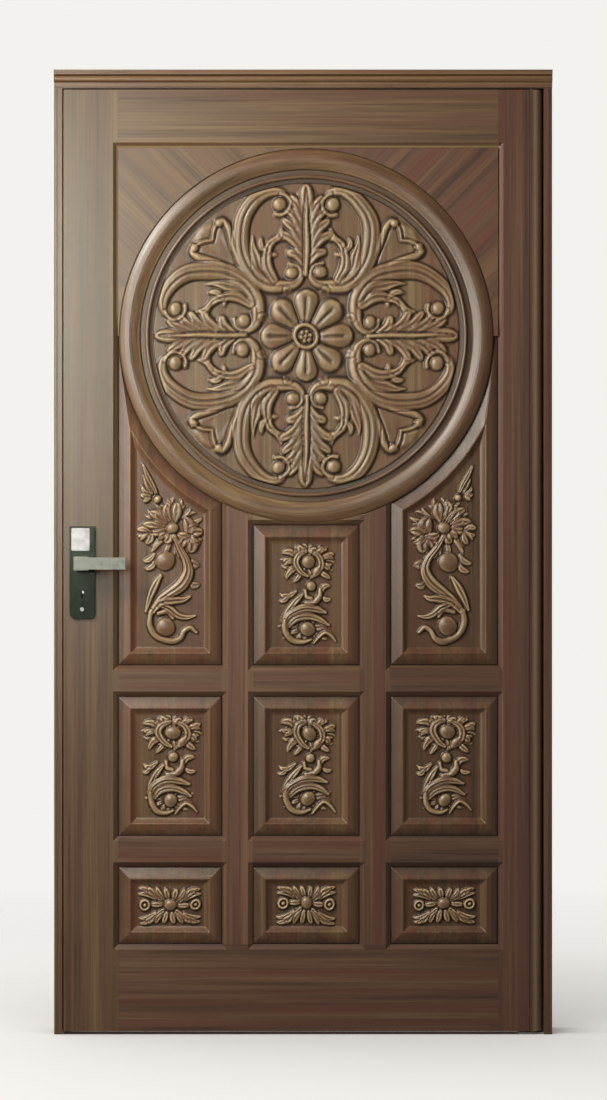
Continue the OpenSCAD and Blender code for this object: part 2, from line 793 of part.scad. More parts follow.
// Leafy flower around a ball.
module panel_flower(x, z, r) {
    carved_ball(x, z, r * 0.42, field_d - flower_lift);
    for (a = [0 : 60 : 300]) carved_ball(x + r * 0.8 * cos(a), z + r * 0.8 * sin(a), r * 0.36);
}

module plain_panel(c) {
    raised_panel(c);
    panel_tongue(c, c[3] + tongue);
}

module middle_panel(col) {
    c = cell(col, 1);
    cx = (c[0] + c[1]) / 2;
    color(wood) place() {
        plain_panel(c);
        panel_flower(cx + mid_flower_x, mid_z1 - flower_drop, mid_flower_r);
        panel_scroll(cx, mid_z0 + mid_scroll_rise, scroll_r, 1);
    }
}

module bottom_panel(col) {
    c = cell(col, 0);
    cx = (c[0] + c[1]) / 2;
    cz = (c[2] + c[3]) / 2;
    color(wood_dark) place() {
        plain_panel(c);
        carved_ball(cx, cz, low_ball_r);
        for (s = [-1, 1]) carved_ball(cx + s * side_ball_x, cz, side_ball_r);
    }
}

module top_panel_middle() {
    c = cell(1, 2);
    cx = (c[0] + c[1]) / 2;
    color(wood) place() {
        plain_panel(c);
        panel_flower(cx, c[3] - flower_drop, top_flower_r);
        panel_scroll(cx, c[2] + top_scroll_rise, scroll_r, 1);
    }
}

// Side panel under the ring: its border follows the ring's outer edge.
module top_side_panel(col, side) {
    c = cell(col, 2);
    cx = (c[0] + c[1]) / 2;
    color(wood) place() {
        difference() {
            raised_panel(c, true);
            round_y(ring_x, ring_z, ring_r + coping_gap, -1, leaf_t + 1);
            translate([ring_x, 0, ring_z]) rotate([-90, 0, 0]) ring_bevel();
            box(c[0] - 1, c[1] + 1, -1, leaf_t + 1, ring_z, ring_z + ring_r);
        }
        arc_border(c);
        difference() {
            panel_tongue(c, ring_z);
            round_y(ring_x, ring_z, ring_r - tongue, -1, leaf_t + 1);
        }
        panel_flower(cx, top_z0 + side_flower_rise, side_flower_r);
        panel_scroll(cx, top_z0 + top_scroll_rise, scroll_r, side);
    }
}

// Cutter that slopes a panel's face down to the ring, front and back.
module ring_bevel() {
    for (y = [[panel_foot, panel_face - 1, -1], [leaf_t - panel_foot, leaf_t - panel_face + 1, leaf_t + 1]])
        rotate_extrude($fn = 180)
            polygon([[ring_r - bevel_lap, y[0]], [ring_r + coping_gap, y[0]], [ring_r + border_w, y[1]],
                [ring_r + border_w, y[2]], [ring_r - bevel_lap, y[2]]]);
}

// Border that follows the ring above the sunk field of a side panel.
module arc_border(c) {
    g = panel_gap;
    r0 = ring_r + coping_gap;
    r1 = ring_r + border_w;
    r2 = r1 + cove_w;
    intersection() {
        translate([ring_x, 0, ring_z]) rotate([-90, 0, 0]) rotate_extrude($fn = 180)
            polygon([[r0, panel_foot], [r1, panel_face], [r2, field_d], [r2, mid_y], [r0, mid_y]]);
        box(c[0] + g + border_w, c[1] - g - border_w, 0, leaf_t, c[2] + border_w, ring_z);
    }
}

module top_panel_left() { top_side_panel(0, 1); }
module top_panel_right() { top_side_panel(2, -1); }
module middle_panel_left() { middle_panel(0); }
module middle_panel_middle() { middle_panel(1); }
module middle_panel_right() { middle_panel(2); }
module bottom_panel_left() { bottom_panel(0); }
module bottom_panel_middle() { bottom_panel(1); }
module bottom_panel_right() { bottom_panel(2); }

// ---- Pivot bushes in the leaf ----

// Seat of a bush and its flange, from the leaf's end at z = 0 upwards.
module bush_cutter() {
    box(flange_x0, flange_x1, pivot_y - flange_w / 2, pivot_y + flange_w / 2, -1, flange_t);
    translate([pivot_x, pivot_y, -1]) cylinder(r = bush_r, h = bush_h + bush_end_gap + 1);
    translate([bush_screw_x, pivot_y, 0]) along("+z") screw_hole(plate_screw_len);
}

// Flanged bush, its flange at z = 0 and its bore open at both ends.
module pivot_bush() {
    difference() {
        union() {
            box(flange_x0, flange_x1, pivot_y - flange_w / 2, pivot_y + flange_w / 2, 0, flange_t);
            translate([pivot_x, pivot_y, 0]) cylinder(r = bush_r, h = bush_h);
        }
        translate([pivot_x, pivot_y, -1]) cylinder(r = pin_r + pin_gap, h = bush_h + 2);
        translate([bush_screw_x, pivot_y, 0]) along("+z") screw_hole(plate_screw_len);
    }
}

module top_pivot_bush() {
    color(bronze) place() translate([0, 0, leaf_z1]) mirror([0, 0, 1]) pivot_bush();
}

module bottom_pivot_bush() {
    color(bronze) place() translate([0, 0, leaf_z0]) pivot_bush();
}

module bush_screws() {
    color(steel) place() {
        translate([bush_screw_x, pivot_y, leaf_z0]) along("+z") screw(plate_screw_len);
        translate([bush_screw_x, pivot_y, leaf_z1]) along("-z") screw(plate_screw_len);
    }
}

// ---- Lock ----

// Everything cut out of the stile for the lock and the handles.
module lock_cutter() {
    box(leaf_x0 - 1, case_x0, mid_y - forend_w / 2, mid_y + forend_w / 2, forend_z0, forend_z1);
    box(case_x0 - 1, case_x1 + lock_gap, case_y0 - lock_gap, case_y1 + lock_gap, case_bottom - lock_gap,
        case_top + lock_gap);
    round_y(spindle_x, spindle_z, neck_r + neck_room, -1, leaf_t + 1);
    keyhole(-1, leaf_t + 1, key_room);
    for (z = [screw_low_z, screw_top_z]) {
        translate([spindle_x, -hplate_t, z]) screw_hole(hplate_screw_len);
        translate([spindle_x, leaf_t + hplate_t, z]) along("-y") screw_hole(hplate_screw_len);
    }
    for (z = forend_screw_z) translate([leaf_x0, mid_y, z]) along("+x") screw_hole(forend_screw_len);
}

// Keyhole from y0 to y1, wider all round by g.
module keyhole(y0, y1, g = 0) {
    round_y(spindle_x, key_z, key_r + g, y0, y1);
    box(spindle_x - key_slot_w / 2 - g, spindle_x + key_slot_w / 2 + g, y0, y1, key_z - key_drop - g, key_z);
}

module lock_case() {
    color(steel) place() difference() {
        box(case_x0, case_x1, case_y0 + case_wall, case_y1, case_bottom, case_top);
        box(case_x0 + case_wall, case_x1 - case_wall, case_y0, case_y1 - case_wall, case_bottom + case_wall,
            case_top - case_wall);
        round_y(spindle_x, spindle_z, hub_r + hub_gap, 0, leaf_t);
        keyhole(0, leaf_t);
        bolt_pockets(case_x0 - 1, case_x0 + case_wall + 1, lock_gap);
    }
}

module lock_cover() {
    color(steel) place() difference() {
        box(case_x0, case_x1, case_y0, case_y0 + case_wall, case_bottom, case_top);
        round_y(spindle_x, spindle_z, hub_r + hub_gap, 0, leaf_t);
        keyhole(0, leaf_t);
    }
}

module lock_forend() {
    color(nickel) place() difference() {
        box(leaf_x0, case_x0, mid_y - forend_w / 2, mid_y + forend_w / 2, forend_z0, forend_z1);
        bolt_pockets(leaf_x0 - 1, case_x0 + 1, lock_gap);
        for (z = forend_screw_z) translate([leaf_x0, mid_y, z]) along("+x") screw_hole(forend_screw_len);
    }
}

module forend_screws() {
    color(steel) place() for (z = forend_screw_z)
        translate([leaf_x0, mid_y, z]) along("+x") screw(forend_screw_len);
}

module latch_bolt() {
    x0 = leaf_x0 - latch_throw;
    z0 = latch_z - latch_h / 2;
    back_y = mid_y + latch_w / 2 + 1;
    nose_y = mid_y - latch_w / 2 + latch_nose;
    color(bronze) place() {
        difference() {
            slot(x0, case_x0 + latch_in, latch_w, latch_h, latch_z);
            upright(z0 - 1, z0 + latch_h + 1)
                polygon([[x0 - 1, nose_y], [x0 - 1, back_y], [x0 + latch_w, back_y], [x0, nose_y]]);
        }
        box(case_x0 + latch_in - eps, tail_x + tail_t, mid_y - stem_w / 2, mid_y + stem_w / 2,
            latch_z + stem_low, latch_z + tail_high);
        box(tail_x, tail_x + tail_t, mid_y - tail_w / 2, mid_y + tail_w / 2,
            latch_z - tail_low, latch_z + tail_high);
    }
}

module latch_spring() {
    color(steel) place() translate([tail_x + tail_t + spring_gap, mid_y, latch_z + spring_lift])
        rotate([0, 90, 0]) spring_coil();
}

// Compression spring between the latch's tail and the back of the case.
module spring_coil() {
    len = case_x1 - case_wall - tail_x - tail_t - 2 * spring_gap;
    turns = 7;
    steps = 12;
    wire = 0.5;
    for (i = [0 : turns * steps - 1]) hull() for (k = [i, i + 1])
        rotate([0, 0, 360 * k / steps])
            translate([spring_r, 0, wire + (len - 2 * wire) * k / (turns * steps)])
                sphere(r = wire, $fn = 6);
}

module dead_bolt() {
    z0 = dead_z - dead_h / 2;
    color(bronze) place() {
        slot(leaf_x0, case_x0 + dead_in, dead_w, dead_h, dead_z);
        box(case_x0 + dead_in - eps, spindle_x - dead_tail_gap, mid_y - stem_w / 2, mid_y + stem_w / 2,
            z0 + dead_tail_z, z0 + dead_h);
    }
}

// Square bar around the spindle's middle from y0 to y1, wider all round by g.
module square_bar(y0, y1, g = 0) {
    half = spindle_w / 2 + g;
    box(spindle_x - half, spindle_x + half, y0, y1, spindle_z - half, spindle_z + half);
}

module follower() {
    color(bronze) place() difference() {
        union() {
            round_y(spindle_x, spindle_z, hub_r, case_y0 - hub_lap, case_y1 + hub_lap);
            box(spindle_x - arm_w / 2, spindle_x + arm_w / 2, mid_y - arm_t / 2, mid_y + arm_t / 2,
                spindle_z, spindle_z + arm_len);
        }
        square_bar(0, leaf_t, spindle_gap);
    }
}

module spindle() {
    color(steel) place() square_bar(-spindle_reach, leaf_t + spindle_reach);
}

// Outline of a handle plate in X and Z.
module hplate_outline(inset = 0) {
    r = hplate_corner - inset;
    x0 = spindle_x - hplate_w / 2 + inset;
    x1 = spindle_x + hplate_w / 2 - inset;
    z0 = hplate_z0 + inset;
    z1 = hplate_z1 - inset;
    union() {
        translate([x0, z0 + r]) square([x1 - x0, z1 - z0 - r]);
        translate([x0 + r, z0]) square([x1 - x0 - 2 * r, r + 1]);
        for (x = [x0 + r, x1 - r]) translate([x, z0 + r]) circle(r = r);
    }
}

// Dished plate, drawn against the outside face of the leaf.
module handle_plate() {
    difference() {
        facing(-hplate_t, 0) hplate_outline();
        facing(-hplate_t + hplate_wall, 1) hplate_outline(hplate_wall);
        round_y(spindle_x, spindle_z, neck_r + neck_gap, -hplate_t - 1, 1);
        keyhole(-hplate_t - 1, 1);
        for (z = [screw_low_z, screw_top_z])
            translate([spindle_x, -hplate_t, z]) screw_hole(hplate_screw_len);
    }
    for (z = [screw_low_z, screw_top_z]) difference() {
        round_y(spindle_x, z, hplate_boss_r, -hplate_t + hplate_wall / 2, 0);
        translate([spindle_x, -hplate_t, z]) screw_hole(hplate_screw_len);
    }
}

// Mirrors a piece of the outside face to the inside face of the leaf.
module inside() {
    translate([0, leaf_t, 0]) mirror([0, 1, 0]) children();
}

module outside_plate() { color(nickel) place() handle_plate(); }
module inside_plate() { color(nickel) place() inside() handle_plate(); }

module handle_plate_screws() {
    color(steel) place() for (z = [screw_low_z, screw_top_z]) {
        translate([spindle_x, -hplate_t, z]) screw(hplate_screw_len);
        translate([spindle_x, leaf_t + hplate_t, z]) along("-y") screw(hplate_screw_len);
    }
}

// Lever with its neck and square hub, on the outside face of the leaf.
module lever() {
    y0 = -lever_reach;
    hub_y = -hplate_t - lever_room;
    hub = lever_hub / 2;
    difference() {
        union() {
            round_y(spindle_x, spindle_z, neck_r, hub_y - 2, -1);
            box(spindle_x - hub, spindle_x + hub, y0, hub_y, spindle_z - hub, spindle_z + hub);
            box(spindle_x, spindle_x + lever_len, y0, y0 + lever_t,
                spindle_z - lever_h / 2, spindle_z + lever_h / 2);
        }
        square_bar(-spindle_reach - spindle_end_gap, 0, spindle_gap);
        translate([spindle_x, grub_y, spindle_z - hub - 1])
            cylinder(r = grub_r + spindle_gap, h = hub + 1 - spindle_w / 2 - spindle_gap);
    }
}

module outside_lever() { color(nickel) place() lever(); }
module inside_lever() { color(nickel) place() inside() lever(); }

module lever_grub_screws() {
    color(steel) place() for (y = [grub_y, leaf_t - grub_y])
        translate([spindle_x, y, spindle_z - grub_low]) cylinder(r = grub_r, h = grub_low - spindle_w / 2);
}

head();
head_moulding();
jamb_lock_side();
jamb_hinge_side();
frame_screws();
strike_plate();
strike_screws();
top_pivot_plate();
top_pivot_pin();
bottom_pivot_plate();
bottom_pivot_pin();
thrust_washer();
pivot_plate_screws();
lock_stile();
hinge_stile();
top_rail();
bottom_rail();
mullion_left();
mullion_right();
upper_rail_left();
upper_rail_middle();
upper_rail_right();
lower_rail_left();
lower_rail_middle();
lower_rail_right();
spandrel_left();
spandrel_right();
medallion_ring();
medallion_panel();
top_panel_left();
top_panel_middle();
top_panel_right();
middle_panel_left();
middle_panel_middle();
middle_panel_right();
bottom_panel_left();
bottom_panel_middle();
bottom_panel_right();
top_pivot_bush();
bottom_pivot_bush();
bush_screws();
lock_case();
lock_cover();
lock_forend();
forend_screws();
latch_bolt();
latch_spring();
dead_bolt();
follower();
spindle();
outside_plate();
inside_plate();
handle_plate_screws();
outside_lever();
inside_lever();
lever_grub_screws();
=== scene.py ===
"""Carved temple door in its frame: carved panels, wood and metal finishes, studio light and camera."""
import math

import bpy
import numpy as np
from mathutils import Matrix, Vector


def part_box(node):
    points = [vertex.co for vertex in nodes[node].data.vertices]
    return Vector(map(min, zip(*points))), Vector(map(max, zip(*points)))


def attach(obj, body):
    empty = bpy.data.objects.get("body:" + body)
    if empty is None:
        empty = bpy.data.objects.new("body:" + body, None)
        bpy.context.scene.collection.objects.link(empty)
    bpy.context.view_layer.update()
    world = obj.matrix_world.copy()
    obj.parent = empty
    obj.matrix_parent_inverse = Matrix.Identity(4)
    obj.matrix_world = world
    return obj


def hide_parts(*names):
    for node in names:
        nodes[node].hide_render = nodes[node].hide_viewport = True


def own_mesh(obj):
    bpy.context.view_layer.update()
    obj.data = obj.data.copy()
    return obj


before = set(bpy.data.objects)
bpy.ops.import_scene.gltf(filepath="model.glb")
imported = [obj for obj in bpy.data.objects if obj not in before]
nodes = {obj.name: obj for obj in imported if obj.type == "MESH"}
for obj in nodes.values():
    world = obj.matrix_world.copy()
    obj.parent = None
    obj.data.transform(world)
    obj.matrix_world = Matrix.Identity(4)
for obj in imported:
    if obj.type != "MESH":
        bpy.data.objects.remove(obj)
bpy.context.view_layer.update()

MM = 0.001

# ---- Places, worked out from the frame ----

FACE_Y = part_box("lock_stile")[0].y
LEAF_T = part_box("lock_stile")[1].y - FACE_Y
# A panel's section from its rim inwards is a tongue, a sloping border, a cove and the carved field
TONGUE = 11.5 * MM
PANEL_GAP = 0.5 * MM
RING_GAP = 0.3 * MM
BORDER_W = 27 * MM
COVE_W = 13 * MM
FIELD_Y = FACE_Y + 10 * MM
BORDER_Y = FACE_Y + 1.5 * MM
FOOT_Y = FACE_Y + 10 * MM
TONGUE_HALF = 6.8 * MM
MID_Y = FACE_Y + LEAF_T / 2
HALF_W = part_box("jamb_hinge_side")[1].x

disc_low, disc_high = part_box("medallion_panel")
RING_X = (disc_low.x + disc_high.x) / 2
RING_Z = (disc_low.z + disc_high.z) / 2
FIELD_R = (disc_high.x - disc_low.x) / 2 - TONGUE - RING_GAP
RING_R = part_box("medallion_ring")[1].z - RING_Z


# ---- Carving: heights over a sheet of points ----

LINE_STEPS = 7


def smooth_line(points):
    """Smooth curve through points; every column (place, half width, height) follows it."""
    p = np.vstack([2 * points[0] - points[1], points, 2 * points[-1] - points[-2]])
    rows = []
    for i in range(1, len(p) - 2):
        t = np.linspace(0, 1, LINE_STEPS, endpoint=False)[:, None]
        a, b, c, d = p[i - 1], p[i], p[i + 1], p[i + 2]
        rows.append(0.5 * (2 * b + (c - a) * t + (2 * a - 5 * b + 4 * c - d) * t ** 2
                           + (3 * b - a - 3 * c + d) * t ** 3))
    return np.vstack(rows + [points[-1:]])


def across(form, t, side):
    """Height across a stroke, from 0 to 1, where t is 0 on its middle and 1 at its edge."""
    body = np.sqrt(np.clip(1 - t ** 3, 0, 1))
    if form == "reeded":
        s = t * side
        deep, faint = np.exp(-((s + 0.12) / 0.13) ** 2), np.exp(-((s - 0.5) / 0.1) ** 2)
        return body * (1 - 0.32 * deep - 0.16 * faint)
    if form == "creased":
        return body * (0.62 + 0.38 * np.clip(t / 0.34, 0, 1))
    if form == "sharp":
        return np.clip(1 - t, 0, 1) ** 0.75
    if form == "hollow":
        return body * (0.5 + 0.5 * np.clip((t - 0.35) / 0.45, 0, 1))
    return np.sqrt(np.clip(1 - t ** 2, 0, 1))


class Relief:
    """Heights over points, raised stroke by stroke. A later stroke lies on the earlier ones."""

    # Groove cut round each stroke, and a stroke's least half width
    cut_w = 2.4 * MM
    cut_d = 2.6 * MM
    thinnest = 0.2 * MM

    def __init__(self, x, z, unit, girth=1.0):
        self.girth = girth
        self.at = np.stack([x.ravel(), z.ravel()], 1)
        self.h = np.zeros(len(self.at))
        self.unit = unit

    def _near(self, low, high):
        """Indices of the points inside a box."""
        return np.flatnonzero(np.all((self.at >= low) & (self.at <= high), axis=1))

    def _lay(self, near, t, reach, height):
        """Raises the points inside t < 1 to height and cuts a groove just outside."""
        outside = np.clip((t - 1) * reach / self.cut_w, 0, None)
        groove = np.where((t >= 1) & (outside < 1), self.cut_d * (1 - outside), 0)
        old = self.h[near]
        old = np.where(groove > 0, np.maximum(old - groove, np.minimum(old, 0)), old)
        self.h[near] = np.where(t < 1, np.maximum(height, old), old)

    def stroke(self, points, form="round"):
        """Ridge along a smooth line of (u, v, half width) in units and height in mm."""
        line = np.array(points, float)
        line[:, :3] *= self.unit
        line[:, 2] *= self.girth
        line[:, 3] *= MM
        line = smooth_line(line)
        line[:, 2] = np.maximum(line[:, 2], self.thinnest)
        reach = line[:, 2].max() + self.cut_w
        near = self._near(line[:, :2].min(0) - reach, line[:, :2].max(0) + reach)
        if near.size == 0:
            return
        p = self.at[near]
        a, d = line[:-1], np.diff(line, axis=0)
        offset = p[:, None, :] - a[None, :, :2]
        share = np.clip((offset * d[None, :, :2]).sum(2) / np.maximum((d[:, :2] ** 2).sum(1), 1e-12), 0, 1)
        gap = offset - share[:, :, None] * d[None, :, :2]
        width = a[:, 2] + share * d[:, 2]
        t = np.sqrt((gap ** 2).sum(2)) / width
        best = t.argmin(1)
        rows = np.arange(len(p))
        t, width = t[rows, best], width[rows, best]
        top = a[best, 3] + share[rows, best] * d[best, 3]
        side = np.sign(d[best, 0] * gap[rows, best, 1] - d[best, 1] * gap[rows, best, 0])
        self._lay(near, t, width, top * across(form, np.clip(t, 0, 1), side))

    def ball(self, u, v, r, height):
        """Ball of radius r in units and height in mm."""
        c = np.array([u, v]) * self.unit
        r, height = r * self.unit, height * MM
        near = self._near(c - r - self.cut_w, c + r + self.cut_w)
        t = np.sqrt(((self.at[near] - c) ** 2).sum(1)) / r
        self._lay(near, t, r, height * np.sqrt(np.clip(1 - np.clip(t, 0, 1) ** 2, 0, 1)))

    def leaf(self, base, tip, w, height, bend=0.0):
        """Creased leaf from base to tip, bent sideways by a share of its length."""
        b, e = np.array(base, float), np.array(tip, float)
        side = np.array([-(e - b)[1], (e - b)[0]]) * bend
        middle, outer = b + (e - b) * 0.45 + side, b + (e - b) * 0.8 + side * 0.7
        self.stroke([[*b, w * 0.5, height * 0.7], [*middle, w, height], [*outer, w * 0.75, height * 0.9],
                     [*e, w * 0.12, height * 0.45]], "creased")

    def fan(self, centre, start, tips, w, height, bend=0.0):
        """Leaves of uneven length and width that spread from around a centre towards their tips."""
        c = np.array(centre, float)
        for k, tip in enumerate(tips):
            e = c + (np.array(tip, float) - c) * (0.84 + 0.16 * (k * 3 % 4) / 3)
            away = (e - c) / np.linalg.norm(e - c)
            self.leaf(c + away * start, e, w * (0.74 + 0.2 * (k * 2 % 3)), height, bend + 0.13 * (-1) ** k)

    def wreath(self, centre, start, reach, count, w, height):
        """Small low leaves all round a centre, out to an oval of half sizes reach."""
        turns = np.linspace(0, 2 * math.pi, count, endpoint=False) + 0.1
        tips = [(centre[0] + reach[0] * math.cos(a), centre[1] + reach[1] * math.sin(a)) for a in turns]
        self.fan(centre, start, tips, w, height, 0.05)


def blur(a, passes):
    """Softens a sheet of values."""
    for _ in range(passes):
        for axis in (0, 1):
            p = np.pad(a, [(1, 1) if k == axis else (0, 0) for k in (0, 1)], mode="edge")
            n = a.shape[axis]
            low, mid, high = (np.take(p, np.arange(k, k + n), axis) for k in (0, 1, 2))
            a = (low + 2 * mid + high) / 4
    return a


def hand_warp(x, z, wander=1.3 * MM):
    """Small wander of a carver's hand, so that repeated motifs differ a little."""
    return (x + wander * (np.sin(31 * x + 17 * z + 1.0) + 0.6 * np.sin(57 * z - 23 * x)),
            z + wander * (np.sin(29 * z - 13 * x + 2.0) + 0.6 * np.sin(61 * x + 19 * z)))


# ---- Carved motifs ----

PETALS = 8
PETAL_TURN = 360 / PETALS
PETAL_R0 = 0.06
PETAL_R1 = 0.3


def carve_rosette(relief, x, z):
    """Eight-petalled flower with its cup, in the middle of the medallion."""
    r = np.hypot(x, z) / FIELD_R
    turn = np.degrees(np.arctan2(z, x))
    off = (turn + PETAL_TURN / 2) % PETAL_TURN - PETAL_TURN / 2
    s = np.clip((r - PETAL_R0) / (PETAL_R1 - PETAL_R0), 0, 1)
    w = r * math.sin(math.radians(21)) * np.sqrt(1 - np.clip((s - 0.55) / 0.45, 0, 1) ** 2.4)
    t = np.abs(r * np.sin(np.radians(off))) / np.maximum(w, 1e-4)
    rise = (3.5 + 6.8 * np.sin(0.86 * math.pi * s ** 1.15)) * MM
    deep = 0.4 * np.exp(-(t / 0.17) ** 2)
    crease = 1 - deep * np.clip((s - 0.1) * 5, 0, 1) * np.clip((0.86 - s) * 8, 0, 1)
    petal = rise * np.sqrt(np.clip(1 - t ** 2.2, 0, 1)) * crease
    cut = np.where(r < PETAL_R1 + 0.015, relief.h - 2 * MM, relief.h)
    relief.h = np.where(r < PETAL_R1, petal, cut)
    relief.h = np.maximum(relief.h, 0)
    relief.at = np.stack([x, z], 1)
    relief.stroke([[0.074 * math.cos(a), 0.074 * math.sin(a), 0.017, 9.4]
                   for a in np.linspace(0, 2 * math.pi, 13)])
    relief.ball(0, 0, 0.052, 8.5)
    for k in range(6):
        a = math.radians(60 * k + 15)
        relief.ball(0.032 * math.cos(a), 0.032 * math.sin(a), 0.016, 11.0)
    relief.ball(0, 0, 0.015, 11.6)


def carve_leaf_tips(relief):
    """Small pointed leaves that show between the rosette's petals."""
    for k in range(PETALS):
        a = math.radians(PETAL_TURN * (k + 0.5))
        away = np.array([math.cos(a), math.sin(a)])
        relief.leaf(0.2 * away, 0.34 * away, 0.04, 5.5)


# Side lobes of the palmette, each with the height of its foot, its bend and its tip
PALMETTE = ((0.46, (0.06, 0.535), (0.125, 0.555)), (0.52, (0.085, 0.63), (0.165, 0.68)),
            (0.585, (0.078, 0.70), (0.155, 0.765)), (0.66, (0.072, 0.775), (0.145, 0.84)),
            (0.735, (0.062, 0.845), (0.115, 0.91)))


def carve_unit(relief):
    """One side of a scrolled unit: u is the distance from its axis and v from the rosette's middle."""
    # Outer C-scroll, from the ball near the rim round to the volute by the rosette
    relief.stroke([[0.125, 0.895, 0.012, 5.0], [0.165, 0.935, 0.024, 6.5], [0.25, 0.94, 0.037, 8.0],
                   [0.34, 0.88, 0.048, 9.0], [0.41, 0.77, 0.055, 9.5], [0.43, 0.64, 0.059, 9.5],
                   [0.41, 0.51, 0.061, 9.5], [0.35, 0.405, 0.058, 9.5], [0.26, 0.338, 0.052, 9.5],
                   [0.155, 0.32, 0.042, 9.0], [0.07, 0.34, 0.03, 8.0], [0.028, 0.395, 0.02, 7.0],
                   [0.05, 0.455, 0.016, 6.5], [0.105, 0.472, 0.012, 6.0]], "reeded")
    # Leaf that grows along the inside of the scroll; its tips reach the palmette
    relief.stroke([[0.22, 0.36, 0.03, 7.0], [0.295, 0.43, 0.048, 8.5], [0.325, 0.52, 0.038, 8.5],
                   [0.345, 0.59, 0.02, 7.0], [0.345, 0.65, 0.004, 4.5]], "creased")
    relief.leaf((0.27, 0.46), (0.185, 0.53), 0.022, 7.5, -0.3)
    relief.stroke([[0.20, 0.365, 0.025, 7.5], [0.25, 0.45, 0.036, 9.0], [0.255, 0.53, 0.032, 9.0],
                   [0.232, 0.60, 0.026, 8.5], [0.18, 0.64, 0.021, 8.0], [0.12, 0.64, 0.016, 7.5],
                   [0.07, 0.58, 0.008, 5.5]], "creased")
    relief.leaf((0.25, 0.54), (0.285, 0.64), 0.022, 8.0, -0.2)
    relief.leaf((0.225, 0.62), (0.16, 0.715), 0.022, 8.0, 0.2)
    # Palmette: a low body, side lobes from the foot to the tip, then the rib
    relief.stroke([[0, 0.45, 0.02, 4.0], [0, 0.55, 0.075, 5.0], [0, 0.68, 0.10, 5.0], [0, 0.80, 0.10, 5.0],
                   [0, 0.90, 0.07, 5.0], [0, 0.99, 0.012, 4.0]])
    for foot, bend, tip in PALMETTE:
        relief.stroke([[0.006, foot, 0.02, 6.5], [*bend, 0.035, 9.0],
                       [bend[0] * 0.3 + tip[0] * 0.7, bend[1] * 0.3 + tip[1] * 0.7, 0.026, 8.5],
                       [*tip, 0.004, 5.0]], "creased")
    relief.stroke([[0, 0.80, 0.02, 7.0], [0, 0.88, 0.05, 9.5], [0, 0.94, 0.042, 9.0],
                   [0, 0.992, 0.005, 5.0]], "creased")
    relief.stroke([[0, 0.40, 0.016, 9.0], [0, 0.60, 0.022, 10.5], [0, 0.80, 0.016, 10.0],
                   [0, 0.95, 0.005, 7.0]])
    # Balls in the scroll's two ends
    relief.stroke([[0.178 + 0.068 * math.cos(a), 0.858 + 0.068 * math.sin(a), 0.014, 7.0]
                   for a in np.radians(np.linspace(100, 290, 7))])
    relief.ball(0.178, 0.858, 0.048, 10.5)
    relief.ball(0.09, 0.412, 0.046, 10.5)


def carve_fishtail(relief):
    """Forked leaf on a diagonal: v runs outwards and u is the distance from the diagonal."""
    relief.stroke([[0, 0.48, 0.03, 4.0], [0, 0.60, 0.05, 5.0], [0, 0.72, 0.08, 5.5], [0, 0.81, 0.115, 5.5],
                   [0, 0.855, 0.13, 5.0]], "hollow")
    relief.stroke([[0.0, 0.875, 0.014, 6.0], [0.045, 0.91, 0.017, 7.5], [0.095, 0.93, 0.018, 8.5]], "sharp")
    relief.stroke([[0.015, 0.50, 0.018, 6.5], [0.038, 0.62, 0.022, 8.0], [0.062, 0.72, 0.023, 8.5],
                   [0.1, 0.80, 0.025, 9.0], [0.135, 0.865, 0.026, 9.0], [0.14, 0.92, 0.02, 8.5],
                   [0.105, 0.945, 0.012, 7.0]])
    relief.ball(0.112, 0.922, 0.028, 10.0)


def carve_medallion(relief, x, z):
    """Rosette, four scrolled units on the axes and four forked leaves on the diagonals."""
    wx, wz = hand_warp(x, z)
    relief.at = np.stack([wx, wz], 1)
    relief.unit = FIELD_R
    plain = relief.at
    ax, az = np.abs(wx), np.abs(wz)
    diagonal = np.stack([np.abs(az - ax), az + ax], 1) / math.sqrt(2)
    relief.at = diagonal
    carve_fishtail(relief)
    relief.at = np.stack([np.minimum(ax, az), np.maximum(ax, az)], 1)
    carve_unit(relief)
    relief.at = plain
    carve_leaf_tips(relief)
    carve_rosette(relief, wx, wz)


FLOWER_V = 73.0


